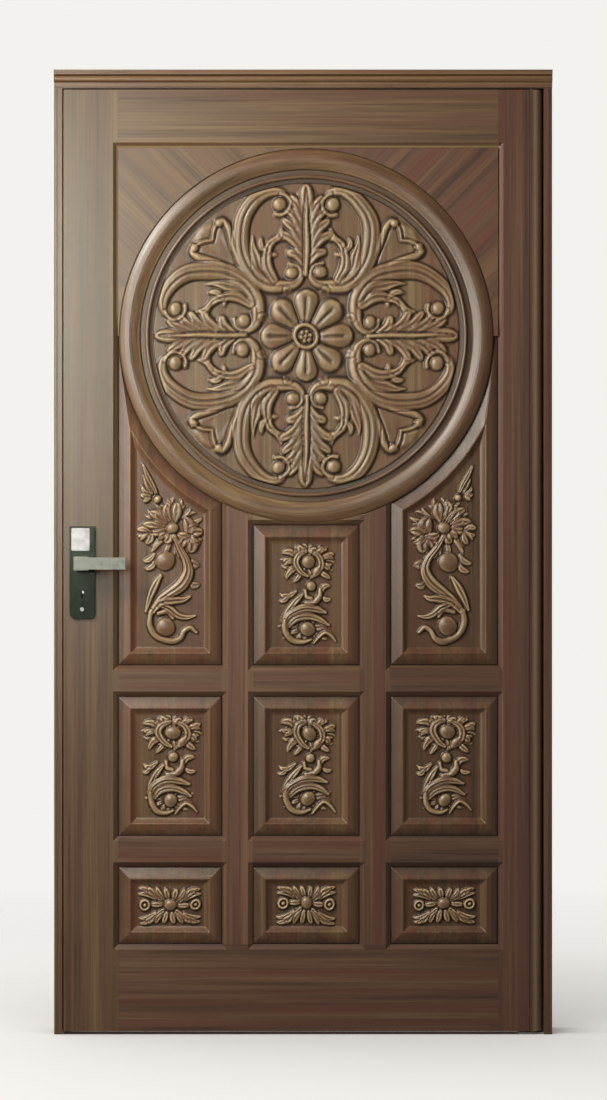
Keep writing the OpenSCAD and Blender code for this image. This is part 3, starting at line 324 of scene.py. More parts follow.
def carve_flower_panel(relief, flower_v=FLOWER_V):
    """Flower, stem, tongues and scroll. u and v are in mm from the middle of the field."""
    centre = (6, flower_v)
    relief.wreath(centre, 20, (66, 44), 19, 3.6, 4.6)
    relief.wreath((-2, -72), 18, (62, 32), 15, 3.2, 4.0)
    relief.fan(centre, 26, [(58, 102), (64, 90), (67, 76), (66, 62), (62, 47), (54, 33)], 5.2, 7.5, 0.08)
    relief.fan(centre, 28, [(-50, 104), (-56, 92), (-58, 78), (-57, 62), (-52, 46), (-44, 32), (-32, 22)],
               5.4, 7.0, -0.08)
    relief.fan(centre, 18, [(-34, 106), (-20, 108), (-6, 108), (9, 108), (24, 107), (38, 106)], 6.5, 7.0)
    relief.stroke([[0, 99, 3.5, 6], [-18, 88, 5.5, 8.5], [-23, 70, 6, 9], [-12, 50, 5, 8.5],
                   [2, 41, 3, 6]], "creased")
    relief.stroke([[12, 98, 3, 6], [30, 86, 5, 8.5], [36, 68, 6, 9], [28, 50, 5, 8.5],
                   [14, 40, 3, 6]], "creased")
    relief.stroke([[18, 44, 4, 8], [24, 52, 7, 10], [30, 60, 4, 8.5]])
    relief.ball(*centre, 16.5, 11.0)
    relief.leaf((-26, 4), (-58, 2), 5, 6.5, 0.25)
    relief.leaf((-40, -4), (-60, -14), 4, 6.0, 0.2)
    relief.leaf((30, 2), (54, 16), 5, 6.5, 0.3)
    relief.leaf((34, -4), (56, -8), 4, 6.0, -0.2)
    relief.stroke([[-4, -20, 3, 7], [14, -17, 5.5, 9.5], [27, -4, 5.5, 9.5], [28, 12, 3, 7]])
    relief.stroke([[-6, 6, 3, 6], [-3, -6, 4, 7.5], [8, -10, 4, 7.5]])
    relief.ball(8, 18, 11.5, 10.5)
    relief.stroke([[-12, -2, 2.5, 6], [-26, -18, 5.5, 9], [-40, -38, 5, 8.5],
                   [-50, -58, 2.5, 6]], "creased")
    relief.stroke([[-46, -66, 4, 8], [-36, -46, 7, 10], [-10, -33, 8, 10.5], [20, -31, 6.5, 9],
                   [42, -36, 2.5, 6]], "reeded")
    relief.stroke([[-38, -68, 4, 7.5], [-20, -52, 6.5, 9.5], [8, -47, 6.5, 9.5], [30, -53, 5, 8.5],
                   [46, -62, 2.5, 5.5]], "reeded")
    relief.stroke([[-44, -60, 5, 8.5], [-42, -78, 5.5, 9], [-30, -95, 5, 8.5], [-8, -101, 4, 8],
                   [8, -97, 2.5, 6]])
    relief.ball(2, -74, 16, 11.0)
    relief.stroke([[14, -104, 2.5, 5.5], [26, -88, 4, 7.5], [38, -79, 4.5, 8], [52, -86, 4, 7],
                   [62, -98, 2, 5]], "sharp")


def carve_top_middle_panel(relief):
    """Flower panel whose flower sits a little higher."""
    carve_flower_panel(relief, FLOWER_V * 1.02)


def carve_tall_panel(relief):
    """Tall side panel: u in mm from the field's middle, v in mm from its foot."""
    flower = (3, 258)
    relief.wreath(flower, 30, (72, 72), 27, 4.0, 5.0)
    relief.fan(flower, 16, [(30, 306), (14, 314), (-4, 320), (-20, 318), (-34, 310), (-46, 298)],
               9, 8.5, 0.06)
    relief.fan(flower, 15, [(-54, 284), (-58, 268), (-46, 254), (-28, 232), (-14, 224)], 7, 8.0, 0.05)
    relief.fan((-36, 250), 6, [(-66, 270), (-69, 256), (-69, 242), (-64, 228), (-54, 219)], 5, 7.0)
    relief.fan((-40, 330), 8, [(-66, 356), (-58, 372), (-66, 336), (-64, 318)], 5, 6.5, 0.1)
    relief.ball(-31, 324, 9, 10.0)
    relief.stroke([[-62, 396, 2, 5], [-50, 372, 4.5, 7.5], [-40, 352, 4.5, 8], [-34, 338, 3, 7]], "creased")
    # Broad leaf with lobes around its veins
    relief.fan((38, 238), 2, [(62, 272), (34, 280), (70, 250), (66, 222), (46, 200), (20, 212), (14, 244)],
               10, 9.0)
    relief.ball(*flower, 14, 11.0)
    relief.leaf((34, 158), (62, 176), 9, 5.0, 0.3)
    relief.leaf((40, 140), (60, 138), 6, 4.5, -0.2)
    relief.leaf((-34, 200), (-58, 184), 5, 6.0, 0.2)
    relief.leaf((-30, 186), (-52, 166), 5, 6.0, 0.2)
    relief.ball(-10, 186, 21, 10.0)
    # Stem that swings round the fruit and down to the foot
    relief.stroke([[5, 240, 4, 8], [17, 214, 5, 9], [34, 186, 6.5, 10], [38, 164, 8.5, 10.5],
                   [26, 140, 10, 10.5], [3, 121, 8.5, 10], [-24, 100, 6.5, 9], [-44, 78, 4, 7.5]], "reeded")
    relief.stroke([[-17, 154, 3, 6.5], [-32, 130, 6, 9], [-46, 104, 5, 8.5], [-54, 80, 2.5, 6]], "creased")
    relief.stroke([[-40, 76, 5, 8.5], [-20, 96, 7.5, 10], [10, 104, 7, 9.5], [30, 106, 5, 8],
                   [42, 112, 2.5, 5.5]], "creased")
    relief.stroke([[-20, 92, 4, 8], [2, 84, 6.5, 9.5], [20, 71, 6, 9], [38, 66, 4.5, 7.5],
                   [56, 68, 2, 5.5]], "creased")
    relief.stroke([[-43, 78, 5, 8.5], [-44, 50, 5.5, 9], [-30, 22, 5.5, 9], [0, 9, 5.5, 9],
                   [22, 16, 5, 8.5], [32, 34, 4.5, 8.5], [45, 41, 4.5, 8], [58, 30, 2.5, 6]])
    relief.stroke([[-24, 74, 4, 7.5], [-2, 78, 5, 8], [10, 64, 3.5, 6.5]])
    relief.ball(-8, 42, 22, 11.0)


def carve_low_panel(relief):
    """Wide low panel: a ball with leaves to the corners and a ring at each side."""
    for s in (-1, 1):
        for t in (-1, 1):
            relief.leaf((s * 14, t * 9), (s * 64, t * 37), 6.5, 8.0, s * t * 0.1)
            relief.leaf((s * 20, t * 14), (s * 44, t * 39), 4.6, 7.5, -s * t * 0.1)
            relief.leaf((s * 30, t * 14), (s * 67, t * 25), 4.2, 7.0, s * t * 0.12)
            relief.leaf((s * 12, t * 14), (s * 28, t * 40), 4.6, 7.5, -s * t * 0.08)
            relief.leaf((s * 5, t * 14), (s * 11, t * 40), 5.0, 7.5)
            relief.leaf((s * 36, t * 22), (s * 56, t * 39), 3.8, 6.5)
        relief.leaf((s * 14, 3), (s * 42, 3), 5.0, 7.0)
        relief.stroke([[s * 54 + 9.5 * math.cos(a), 3 + 9.5 * math.sin(a), 2.6, 8.0]
                       for a in np.linspace(0, 2 * math.pi, 9)])
        relief.ball(s * 54, 3, 5.4, 8.0)
    relief.ball(0, 4, 14.5, 11.0)


# ---- Meshes ----

def add_mesh(name, verts, quads, marks, caps=()):
    """Mesh object from points, quads and end caps, with named values on its points."""
    mesh = bpy.data.meshes.new(name)
    mesh.from_pydata(verts.tolist(), [], quads.tolist() + list(caps))
    for key, values in marks.items():
        mesh.attributes.new(key, "FLOAT", "POINT").data.foreach_set("value", values.astype(np.float32))
    mesh.polygons.foreach_set("use_smooth", [True] * len(mesh.polygons))
    mesh.update()
    piece = bpy.data.objects.new(name, mesh)
    bpy.context.scene.collection.objects.link(piece)
    return piece


def sheet_quads(rows, cols):
    """Faces of a sheet of points in rows and columns."""
    i = np.arange(rows * cols).reshape(rows, cols)
    return np.stack([i[:-1, :-1], i[:-1, 1:], i[1:, 1:], i[1:, :-1]], -1).reshape(-1, 4)


def rim_of(rows, cols):
    """Indices round the sheet: foot, right side, head, left side."""
    i = np.arange(rows * cols).reshape(rows, cols)
    return np.concatenate([i[0, :-1], i[:-1, -1], i[-1, :0:-1], i[:0:-1, 0]])


CELL = 1.3 * MM
MEDALLION_CELL = 1.99 * MM
SOFT_RINGS = 10
# Painted shade on a panel's ground where the carving is low
PANEL_SHADE = 0.58
# A point's level is full at LEVEL_H above the field, and its crest at CREST_H above what lies around it
LEVEL_H = 5 * MM
CREST_H = 1.6 * MM
CREST_BLUR = 8
RIM_CELLS = 2
# Painted shade along the carved field's rim, and in a band at the foot of a panel's border
EDGE_W = 1.6 * MM
EDGE_SHADE = 0.9
FOOT_BAND = 1.2 * MM


def at_foot(d, y):
    """Whether a ring lies in the groove at the foot of a panel's border, on either face."""
    depth = LEAF_T / 2 - abs(y - MID_Y)
    return d > COVE_W and abs(depth - (FOOT_Y - FACE_Y)) < FOOT_BAND


def board(name, field, outline, profile, soft, shade, carve, nx, nz):
    """Carved board: a fine sheet of nx by nz cells on its field, and rings out, round and back of it.

    field(u, v) gives X and Z on the sheet, outline(d) the rim moved out by d, and profile the rings
    as (d, y), of which the first soft ones are shaded smooth. Points get the carving's level and crest,
    and a mark of painted shade for the border's foot, the field's rim and the sheet's ground."""
    u, v = np.meshgrid(np.linspace(0, 1, nx + 1), np.linspace(0, 1, nz + 1))
    x, z = field(u, v)
    relief = carve(x, z)
    h = blur(relief.h.reshape(x.shape), 1)
    from_rim = np.minimum(np.minimum(u * nx, (1 - u) * nx), np.minimum(v * nz, (1 - v) * nz))
    h *= np.clip(from_rim / RIM_CELLS, 0, 1)
    crest = (h - blur(h, CREST_BLUR)) / CREST_H
    level = np.clip(h / LEVEL_H, 0, 1)
    sheet = np.stack([x, FIELD_Y - h, z], -1).reshape(-1, 3)
    loop = rim_of(nz + 1, nx + 1)
    n = len(loop)
    rings, faces = [], [sheet_quads(nz + 1, nx + 1)]
    last = loop
    for k, (d, y) in enumerate(profile):
        ox, oz = outline(d)
        rings.append(np.stack([ox, np.full(n, y), oz], -1))
        here = len(sheet) + k * n + np.arange(n)
        faces.append(np.stack([last, np.roll(last, -1), np.roll(here, -1), here], -1)[:, ::-1])
        last = here
    verts = np.vstack([sheet] + rings)
    extra = len(verts) - len(sheet)
    # Painted shade marks: rings in the foot groove, the field's rim, and the ground where the carving is
    # low
    foot = [np.full(n, float(at_foot(d, y))) for d, y in profile]
    edge = np.maximum(EDGE_SHADE * np.exp(-(from_rim * CELL / EDGE_W) ** 2), shade * (1 - 0.8 * level))
    marks = {"level": np.concatenate([level.ravel(), np.zeros(extra)]),
             "crest": np.concatenate([crest.ravel(), np.zeros(extra)]),
             "foot": np.concatenate([edge.ravel()] + foot)}
    piece = add_mesh(name, verts, np.vstack(faces), marks, [last.tolist()])
    shaded = np.zeros(len(piece.data.polygons), bool)
    shaded[:len(faces[0]) + soft * n] = True
    piece.data.polygons.foreach_set("use_smooth", shaded)
    return piece


def panel_profile():
    """Rings of a raised panel from its field out to the tongue and round to the back."""
    foot = BORDER_W + COVE_W - PANEL_GAP
    back_y = FACE_Y + LEAF_T
    cove = [(COVE_W * s, FIELD_Y + (BORDER_Y - FIELD_Y) * (1 - math.cos(math.pi / 2 * s)) ** 0.8)
            for s in (0.12, 0.3, 0.5, 0.7, 0.86, 0.97)]
    border = [(COVE_W + 1.2 * MM, BORDER_Y - 0.1 * MM), (COVE_W + 3 * MM, BORDER_Y + 0.45 * MM),
              (foot - 2 * MM, FOOT_Y - 0.8 * MM), (foot, FOOT_Y)]
    sides = [(foot, MID_Y - TONGUE_HALF), (BORDER_W + COVE_W + TONGUE, MID_Y - TONGUE_HALF),
             (BORDER_W + COVE_W + TONGUE, MID_Y + TONGUE_HALF), (foot, MID_Y + TONGUE_HALF),
             (foot, back_y - (FOOT_Y - FACE_Y)), (COVE_W + 2 * MM, back_y - (BORDER_Y - FACE_Y)),
             (COVE_W, back_y - (BORDER_Y - FACE_Y))]
    return cove + border + sides


PANEL_WANDER = 2.4 * MM
PANEL_GIRTH = 1.36


def panel(row, col, carve):
    """Raised panel of a row and column; under the ring its head follows the ring."""
    node = f"{row}_panel_{col}"
    low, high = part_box(node)
    inset = TONGUE + BORDER_W + COVE_W
    x0, x1, z0 = low.x + inset, high.x - inset, low.z + inset
    arched = row == "top" and col != "middle"
    z1 = high.z - inset
    mid_x = (x0 + x1) / 2
    mirror = -1 if arched and col == "right" else 1

    def head(x, d):
        if not arched:
            return np.full_like(x, z1 + d)
        r = RING_R + BORDER_W + COVE_W - d
        return RING_Z - np.sqrt(np.maximum(r ** 2 - (x - RING_X) ** 2, 0))

    def field(u, v):
        x = x0 + (x1 - x0) * u
        return x, z0 + (head(x, 0) - z0) * v

    tall = max(head(np.array([x0, x1]), 0)) - z0
    nx, nz = round((x1 - x0) / CELL), round(tall / CELL)

    def outline(d):
        u, v = np.linspace(0, 1, nx + 1)[:-1], np.linspace(0, 1, nz + 1)[:-1]
        a, b, c = x0 - d, x1 + d, z0 - d
        right_z, left_z = head(np.array([b, a]), d)
        top_x = b + (a - b) * u
        up, down = c + (right_z - c) * v, left_z + (c - left_z) * v
        return (np.concatenate([a + (b - a) * u, np.full(nz, b), top_x, np.full(nz, a)]),
                np.concatenate([np.full(nx, c), up, head(top_x, d), down]))

    def carved(x, z):
        zero = z0 if arched else (z0 + z1) / 2
        wx, wz = hand_warp(x, z, PANEL_WANDER)
        relief = Relief((wx - mid_x) * mirror, wz - zero, MM, PANEL_GIRTH)
        carve(relief)
        return relief

    profile = panel_profile()
    piece = board(f"{node}_carved", field, outline, profile, SOFT_RINGS, PANEL_SHADE, carved, nx, nz)
    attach(piece, "leaf")
    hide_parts(node)
    return piece


# Side of a square with the area of a disc of radius 1
DISC_SIDE = 1.772
BACK_DEPTH = 12 * MM
BACK_RIM = 22 * MM
BACK_SUNK = 3 * MM


def medallion():
    """Carved round board inside the ring."""
    n = round(DISC_SIDE * FIELD_R / MEDALLION_CELL)

    def disc(a, b):
        """Even map from a square of -1 to 1 to the unit disc."""
        wide = np.abs(a) > np.abs(b)
        with np.errstate(divide="ignore", invalid="ignore"):
            r = np.where(wide, a, b)
            phi = np.where(wide, math.pi / 4 * b / a, math.pi / 2 - math.pi / 4 * a / b)
        phi = np.where(r == 0, 0, phi)
        return r * np.cos(phi), r * np.sin(phi)

    def field(u, v):
        x, z = disc(2 * u - 1, 2 * v - 1)
        return RING_X + x * FIELD_R, RING_Z + z * FIELD_R

    def outline(d):
        t = np.linspace(-1, 1, n + 1)[:-1]
        one = np.ones(n)
        x, z = disc(np.concatenate([t, one, -t, -one]), np.concatenate([-one, t, one, -t]))
        return RING_X + x * (FIELD_R + d), RING_Z + z * (FIELD_R + d)

    def carved(x, z):
        relief = Relief(x, z, FIELD_R)
        relief.cut_w, relief.cut_d = 3.2 * MM, 3.6 * MM
        carve_medallion(relief, (x - RING_X).ravel(), (z - RING_Z).ravel())
        return relief

    tongue = TONGUE + RING_GAP
    back_y = FACE_Y + LEAF_T - BACK_DEPTH
    profile = [(0.0, MID_Y - TONGUE_HALF), (tongue, MID_Y - TONGUE_HALF), (tongue, MID_Y + TONGUE_HALF),
               (0.0, MID_Y + TONGUE_HALF), (0.0, back_y), (-BACK_RIM, back_y),
               (-BACK_RIM - RING_GAP, back_y - BACK_SUNK)]
    piece = board("medallion_carved", field, outline, profile, 0, 0.0, carved, n, n)
    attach(piece, "leaf")
    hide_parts("medallion_panel")
    return piece


SPRING_TURNS = 7
SPRING_STEPS = 20
SPRING_WIRE = 0.5 * MM
WIRE_SIDES = 8


def latch_spring():
    """Coil spring, built at rest, which in the lock shortens as a lever draws the latch bolt back."""
    low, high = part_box("latch_spring")
    middle = (low + high) / 2
    coil = (high.z - low.z) / 2 - SPRING_WIRE
    turn = np.arange(SPRING_TURNS * SPRING_STEPS + 1) * 2 * math.pi / SPRING_STEPS
    x = np.linspace(low.x + SPRING_WIRE, high.x - SPRING_WIRE, len(turn))
    sides = np.arange(WIRE_SIDES)
    around = sides * 2 * math.pi / WIRE_SIDES
    reach = coil + SPRING_WIRE * np.cos(around)[None, :]
    verts = np.stack([x[:, None] + SPRING_WIRE * np.sin(around)[None, :],
                      middle.y + reach * np.sin(turn)[:, None],
                      middle.z + reach * np.cos(turn)[:, None]], -1).reshape(-1, 3)
    i = np.arange(len(turn) - 1)[:, None] * WIRE_SIDES
    a, b = i + sides, i + (sides + 1) % WIRE_SIDES
    quads = np.stack([a, a + WIRE_SIDES, b + WIRE_SIDES, b], -1).reshape(-1, 4)
    end = len(verts) - WIRE_SIDES
    piece = add_mesh("latch_coil", verts, quads, {}, [sides.tolist(), (end + sides[::-1]).tolist()])
    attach(piece, "leaf")
    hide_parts("latch_spring")
    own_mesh(piece)
    return piece


def plate_field():
    """Raised bright field on the upper part of the outside handle plate."""
    low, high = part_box("outside_plate")
    edge, lever_side, tall, corner = 4 * MM, 10.5 * MM, 50 * MM, 3 * MM
    x0, x1 = low.x + edge, high.x - lever_side
    z0, z1 = high.z - (edge + tall), high.z - edge
    turn = np.radians(np.linspace(0, 360, 40, endpoint=False))
    rings = []
    for inset, y in ((0.0, 0.0), (0.0, -0.9), (0.35, -1.25), (1.0, -1.4)):
        r = corner - inset * MM
        a = np.where(np.cos(turn) > 0, x1 - corner, x0 + corner) + r * np.cos(turn)
        b = np.where(np.sin(turn) > 0, z1 - corner, z0 + corner) + r * np.sin(turn)
        rings.append(np.stack([a, np.full_like(a, low.y + y * MM), b], -1))
    n = len(turn)
    a = np.arange(n)
    b = np.roll(a, -1)
    faces = [k * n + np.stack([a, b, n + b, n + a], -1) for k in range(3)]
    piece = add_mesh("plate_bright_field", np.vstack(rings), np.vstack(faces), {},
                     [list(range(n))[::-1], list(range(3 * n, 4 * n))])
    for face in piece.data.polygons[-2:]:
        face.use_smooth = False
    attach(piece, "leaf")
    return piece


# ---- Materials ----

def linear(r, g, b):
    """Colour from 0-255 display values."""
    shares = (c / 255 for c in (r, g, b))
    return tuple(((c + 0.055) / 1.055) ** 2.4 if c > 0.04 else c / 12.92 for c in shares) + (1.0,)


class Nodes:
    """Short calls to build one material."""

    def __init__(self, name):
        self.material = bpy.data.materials.new(name)
        self.material.use_nodes = True
        self.tree = self.material.node_tree
        self.tree.nodes.clear()
        self.out = self.add("ShaderNodeOutputMaterial")
        self.shader = self.add("ShaderNodeBsdfPrincipled")
        self.link(self.shader.outputs[0], self.out.inputs[0])

    def add(self, kind, **values):
        """Node of a kind, with its properties and inputs set by name."""
        node = self.tree.nodes.new(kind)
        for key, value in values.items():
            if hasattr(node, key):
                setattr(node, key, value)
            else:
                node.inputs[key.replace("_", " ")].default_value = value
        return node

    def link(self, a, b):
        self.tree.links.new(a, b)

    def split(self, vector):
        """X, Y and Z of a vector."""
        node = self.add("ShaderNodeSeparateXYZ")
        self.link(vector, node.inputs[0])
        return node.outputs

    def math(self, operation, a, b=0.0):
        """One operation on two values, each a number or a socket."""
        node = self.add("ShaderNodeMath", operation=operation)
        for socket, value in zip(node.inputs, (a, b)):
            if isinstance(value, (int, float)):
                socket.default_value = value
            else:
                self.link(value, socket)
        return node.outputs[0]

    def mix(self, share, a, b, blend="MIX"):
        """Colour a with a share of b."""
        node = self.add("ShaderNodeMix", data_type="RGBA", blend_type=blend)
        for socket, value in ((node.inputs[0], share), (node.inputs[6], a), (node.inputs[7], b)):
            if isinstance(value, (int, float, tuple)):
                socket.default_value = value
            else:
                self.link(value, socket)
        return node.outputs[2]

    def spread(self, value, low, high, to_low=0.0, to_high=1.0):
        """Value moved from between low and high to between to_low and to_high, and held there."""
        node = self.add("ShaderNodeMapRange", clamp=True)
        self.link(value, node.inputs[0])
        for k, number in enumerate((low, high, to_low, to_high)):
            node.inputs[k + 1].default_value = number
        return node.outputs[0]

    def noise(self, vector, scale, detail, rough=0.55):
        """Noise from 0 to 1."""
        node = self.add("ShaderNodeTexNoise", Scale=scale, Detail=detail, Roughness=rough)
        self.link(vector, node.inputs["Vector"])
        return node.outputs["Fac"]

    def bump(self, height, distance, strength):
        """Surface direction from a height."""
        node = self.add("ShaderNodeBump", Strength=strength, Distance=distance)
        self.link(height, node.inputs["Height"])
        return node.outputs[0]


GRAIN_TURN = {"up": 0.0, "across": 90.0, "rise": 45.0, "fall": -45.0}
GRAIN_STRETCH = 0.014
RING_GRAIN = 0.02


def grain_space(m, grain, shift):
    """Object coordinates, and the same drawn out along the grain."""
    place = m.add("ShaderNodeTexCoord").outputs["Object"]
    if grain == "ring":
        at = m.split(place)
        x, z = m.math("SUBTRACT", at[0], RING_X), m.math("SUBTRACT", at[2], RING_Z)
        r = m.math("SQRT", m.math("ADD", m.math("MULTIPLY", x, x), m.math("MULTIPLY", z, z)))
        join = m.add("ShaderNodeCombineXYZ")
        m.link(m.math("ADD", r, shift), join.inputs[0])
        m.link(m.math("MULTIPLY", m.math("DIVIDE", x, r), RING_GRAIN), join.inputs[1])
        m.link(m.math("MULTIPLY", m.math("DIVIDE", z, r), RING_GRAIN), join.inputs[2])
        return place, join.outputs[0]
    turn = m.add("ShaderNodeMapping")
    turn.inputs["Rotation"].default_value = (0.0, math.radians(GRAIN_TURN[grain]), 0.0)
    m.link(place, turn.inputs["Vector"])
    draw = m.add("ShaderNodeMapping")
    draw.inputs["Scale"].default_value = (1.0, 1.0, GRAIN_STRETCH)
    draw.inputs["Location"].default_value = (shift, shift * 0.7, shift * 0.3)
    m.link(turn.outputs[0], draw.inputs["Vector"])
    return place, draw.outputs[0]


WOOD_DARK = linear(48, 31, 22)
WOOD_MID = linear(82, 58, 38)
WOOD_LIGHT = linear(103, 79, 51)
WOOD_RED = linear(83, 47, 32)
# The crevice colour is painted shade; the light gold is rubbed wear on crests and also painted light and
# highlight
PAINTED_SHADE = linear(34, 22, 14)
GOLD_MID = linear(98, 74, 51)
GOLD_WEAR_AND_PAINTED_LIGHT = linear(170, 146, 110)

# Noise scales, from broad bands of tone to fine fibres
BAND_SCALE = 34.0
RED_SCALE = 46.0
STREAK_SCALE = 150.0
FINE_SCALE = 560.0


def wood_colour(m, vector, tone, red=0.75):
    """Streaked brown with a slow drift between dark, light and red wood, and its two finer noises."""
    band = m.noise(vector, BAND_SCALE, 3.0, 0.6)
    streak = m.noise(vector, STREAK_SCALE, 4.0, 0.65)
    fine = m.noise(vector, FINE_SCALE, 3.0, 0.6)
    value = m.math("ADD", m.math("MULTIPLY", band, 0.4), m.math("MULTIPLY", streak, 0.4))
    value = m.math("ADD", value, m.math("MULTIPLY", fine, 0.2))
    dark_mid = m.mix(m.spread(value, 0.36, 0.5), WOOD_DARK, WOOD_MID)
    colour = m.mix(m.spread(value, 0.51, 0.64), dark_mid, WOOD_LIGHT)
    colour = m.mix(m.spread(m.noise(vector, RED_SCALE, 2.0), 0.44, 0.66, 0.0, red), colour, WOOD_RED)
    colour = m.mix(1.0, colour, tone, "MULTIPLY")
    return colour, streak, fine


# Painted shade in the leaf's grooves by their depth, and painted light in the grooves above the ring's
# middle
GROOVE_SHADE_FROM = 6.5 * MM
GROOVE_SHADE_TO = 9.2 * MM
RING_GROOVE_SHADE_FROM = 5.0 * MM
GROOVE_SHADE_END = 12 * MM
GROOVE_SHADE_GONE = 16 * MM
GROOVE_LIGHT_FROM = 4.5 * MM
GROOVE_LIGHT_TO = 6.2 * MM
GROOVE_LIGHT_SHARE = 0.6
GROOVE_PAINT_END_X = HALF_W - 102.5 * MM
GROOVE_PAINT_FADE = 6 * MM
GROOVE_PAINT_RISE = 50 * MM


def painted_groove_shade(m, place, colour, above, start):
    """Painted shade in the leaf's grooves, darker by their depth below either face.

    Above the ring's middle only its share named above is left, and painted light lightens the grooves
    there."""
    x, y, z = m.split(place)
    depth = m.math("SUBTRACT", LEAF_T / 2, m.math("ABSOLUTE", m.math("SUBTRACT", y, MID_Y)))
    sunk = m.math("MULTIPLY", m.spread(depth, start, GROOVE_SHADE_TO),
                  m.spread(depth, GROOVE_SHADE_END, GROOVE_SHADE_GONE, 1.0, 0.0))
    inside = m.spread(m.math("ABSOLUTE", x), GROOVE_PAINT_END_X, GROOVE_PAINT_END_X + GROOVE_PAINT_FADE, 0.8, 0.0)
    share = m.math("MULTIPLY", sunk, inside)
    share = m.math("MULTIPLY", share, m.spread(z, RING_Z, RING_Z + GROOVE_PAINT_RISE, 1.0, above))
    groove_light = m.math("MULTIPLY", m.spread(depth, GROOVE_LIGHT_FROM, GROOVE_LIGHT_TO, 0.0, GROOVE_LIGHT_SHARE * (1 - above)), inside)
    groove_light = m.math("MULTIPLY", groove_light, m.spread(z, RING_Z, RING_Z + GROOVE_PAINT_RISE))
    return m.mix(share, m.mix(groove_light, colour, GOLD_WEAR_AND_PAINTED_LIGHT), PAINTED_SHADE)


HEEL_X = HALF_W - 44 * MM
JAMB_FACE_X = HALF_W - 20 * MM
HEEL_LIGHT_SHARE = 0.28
RING_PAINTED_SHADE = (0.62, 0.45, 0.4, 1.0)
RING_SHARE = 0.75


def painted_ring_shade(m, place, colour):
    """Painted shade: darkens and reddens the ring towards the hinge side, away from the light at the left.
    """
    x = m.split(place)[0]
    share = m.spread(x, RING_X - 0.25 * RING_R, RING_X + RING_R, 0.0, RING_SHARE)
    return m.mix(share, colour, m.mix(1.0, colour, RING_PAINTED_SHADE, "MULTIPLY"))


def painted_heel_light(m, place, colour):
    """Painted light: lightens the strip from the hinge stile's round heel to the jamb's face, where the
    heel's curve lies in shade.
    """
    x = m.split(place)[0]
    share = m.spread(x, HEEL_X, HEEL_X + 7 * MM, 0.0, HEEL_LIGHT_SHARE)
    share = m.math("MULTIPLY", share, m.spread(x, JAMB_FACE_X, JAMB_FACE_X + 0.5 * MM, 1.0, 0.0))
    return m.mix(share, colour, GOLD_WEAR_AND_PAINTED_LIGHT)


def wood(name, grain, tone, green, shift, rough=0.4, grooved=True, above=0.12, red=0.75):
    """Lacquered wood whose grain runs one way, or round the ring."""
    m = Nodes(name)
    place, vector = grain_space(m, grain, shift)
    colour, streak, fine = wood_colour(m, vector, (tone, tone * green, tone, 1.0), red)
    # Painted shade in the grooves and on the ring's hinge side, and painted light on the hinge side's heel
    if grooved:
        colour = painted_groove_shade(m, place, colour, above, RING_GROOVE_SHADE_FROM if grain == "ring" else GROOVE_SHADE_FROM)
    if grain == "ring":
        colour = painted_ring_shade(m, place, colour)
    if "hinge" in name:
        colour = painted_heel_light(m, place, colour)
    m.link(colour, m.shader.inputs["Base Color"])
    m.link(m.spread(streak, 0.3, 0.7, rough - 0.05, rough + 0.07), m.shader.inputs["Roughness"])
    height = m.math("ADD", m.math("MULTIPLY", streak, 0.6), m.math("MULTIPLY", fine, 0.4))
    m.link(m.bump(height, 0.6 * MM, 0.35), m.shader.inputs["Normal"])
    m.shader.inputs["Coat Weight"].default_value = 0.14
    m.shader.inputs["Coat Roughness"].default_value = 0.28
    return m.material


CLOUD_SCALE = 34.0
PORE_SCALE = 260.0


def carved_wood(name, grain, tone, shift, gild):
    """Wood whose carving is lighter on the crests, as rubbed wear and painted highlight, with painted shade
    in its crevices and where the board marks it.
    """
    m = Nodes(name)
    place, vector = grain_space(m, grain, shift)
    colour, _, fine = wood_colour(m, vector, tone)
    level, crest, foot = (m.add("ShaderNodeAttribute", attribute_name=key).outputs["Fac"]
                          for key in ("level", "crest", "foot"))
    cloud = m.noise(place, CLOUD_SCALE, 3.0)
    raised = m.spread(level, 0.15, 0.85, 0.0, 0.5 * gild)
    colour = m.mix(raised, colour, GOLD_MID)
    # Crests lighter, partly rubbed wear and partly painted highlight, patchy under a cloud
    rubbed_and_lit = m.spread(crest, 0.14, 0.85, 0.0, gild)
    rubbed_and_lit = m.math("MULTIPLY", rubbed_and_lit, m.spread(cloud, 0.3, 0.65, 0.55, 1.0))
    colour = m.mix(rubbed_and_lit, colour, GOLD_WEAR_AND_PAINTED_LIGHT)
    # Painted shade in the crevices beside the carving, then painted shade from the foot mark
    colour = m.mix(m.spread(crest, -0.08, -0.8, 0.0, 0.95), colour, PAINTED_SHADE)
    colour = m.mix(m.spread(foot, 0.3, 1.0, 0.0, 0.6), colour, PAINTED_SHADE)
    m.link(colour, m.shader.inputs["Base Color"])
    m.link(m.spread(cloud, 0.3, 0.7, 0.34, 0.46), m.shader.inputs["Roughness"])
    pores = m.noise(place, PORE_SCALE, 3.0)
    height = m.math("ADD", m.math("MULTIPLY", pores, 0.7), m.math("MULTIPLY", fine, 0.3))
    m.link(m.bump(height, 0.8 * MM, 0.3), m.shader.inputs["Normal"])
    m.shader.inputs["Specular IOR Level"].default_value = 0.38
    m.shader.inputs["Coat Weight"].default_value = 0.12
    m.shader.inputs["Coat Roughness"].default_value = 0.3
    return m.material


BRUSH_SCALE = 900.0
TARNISH_SCALE = 60.0


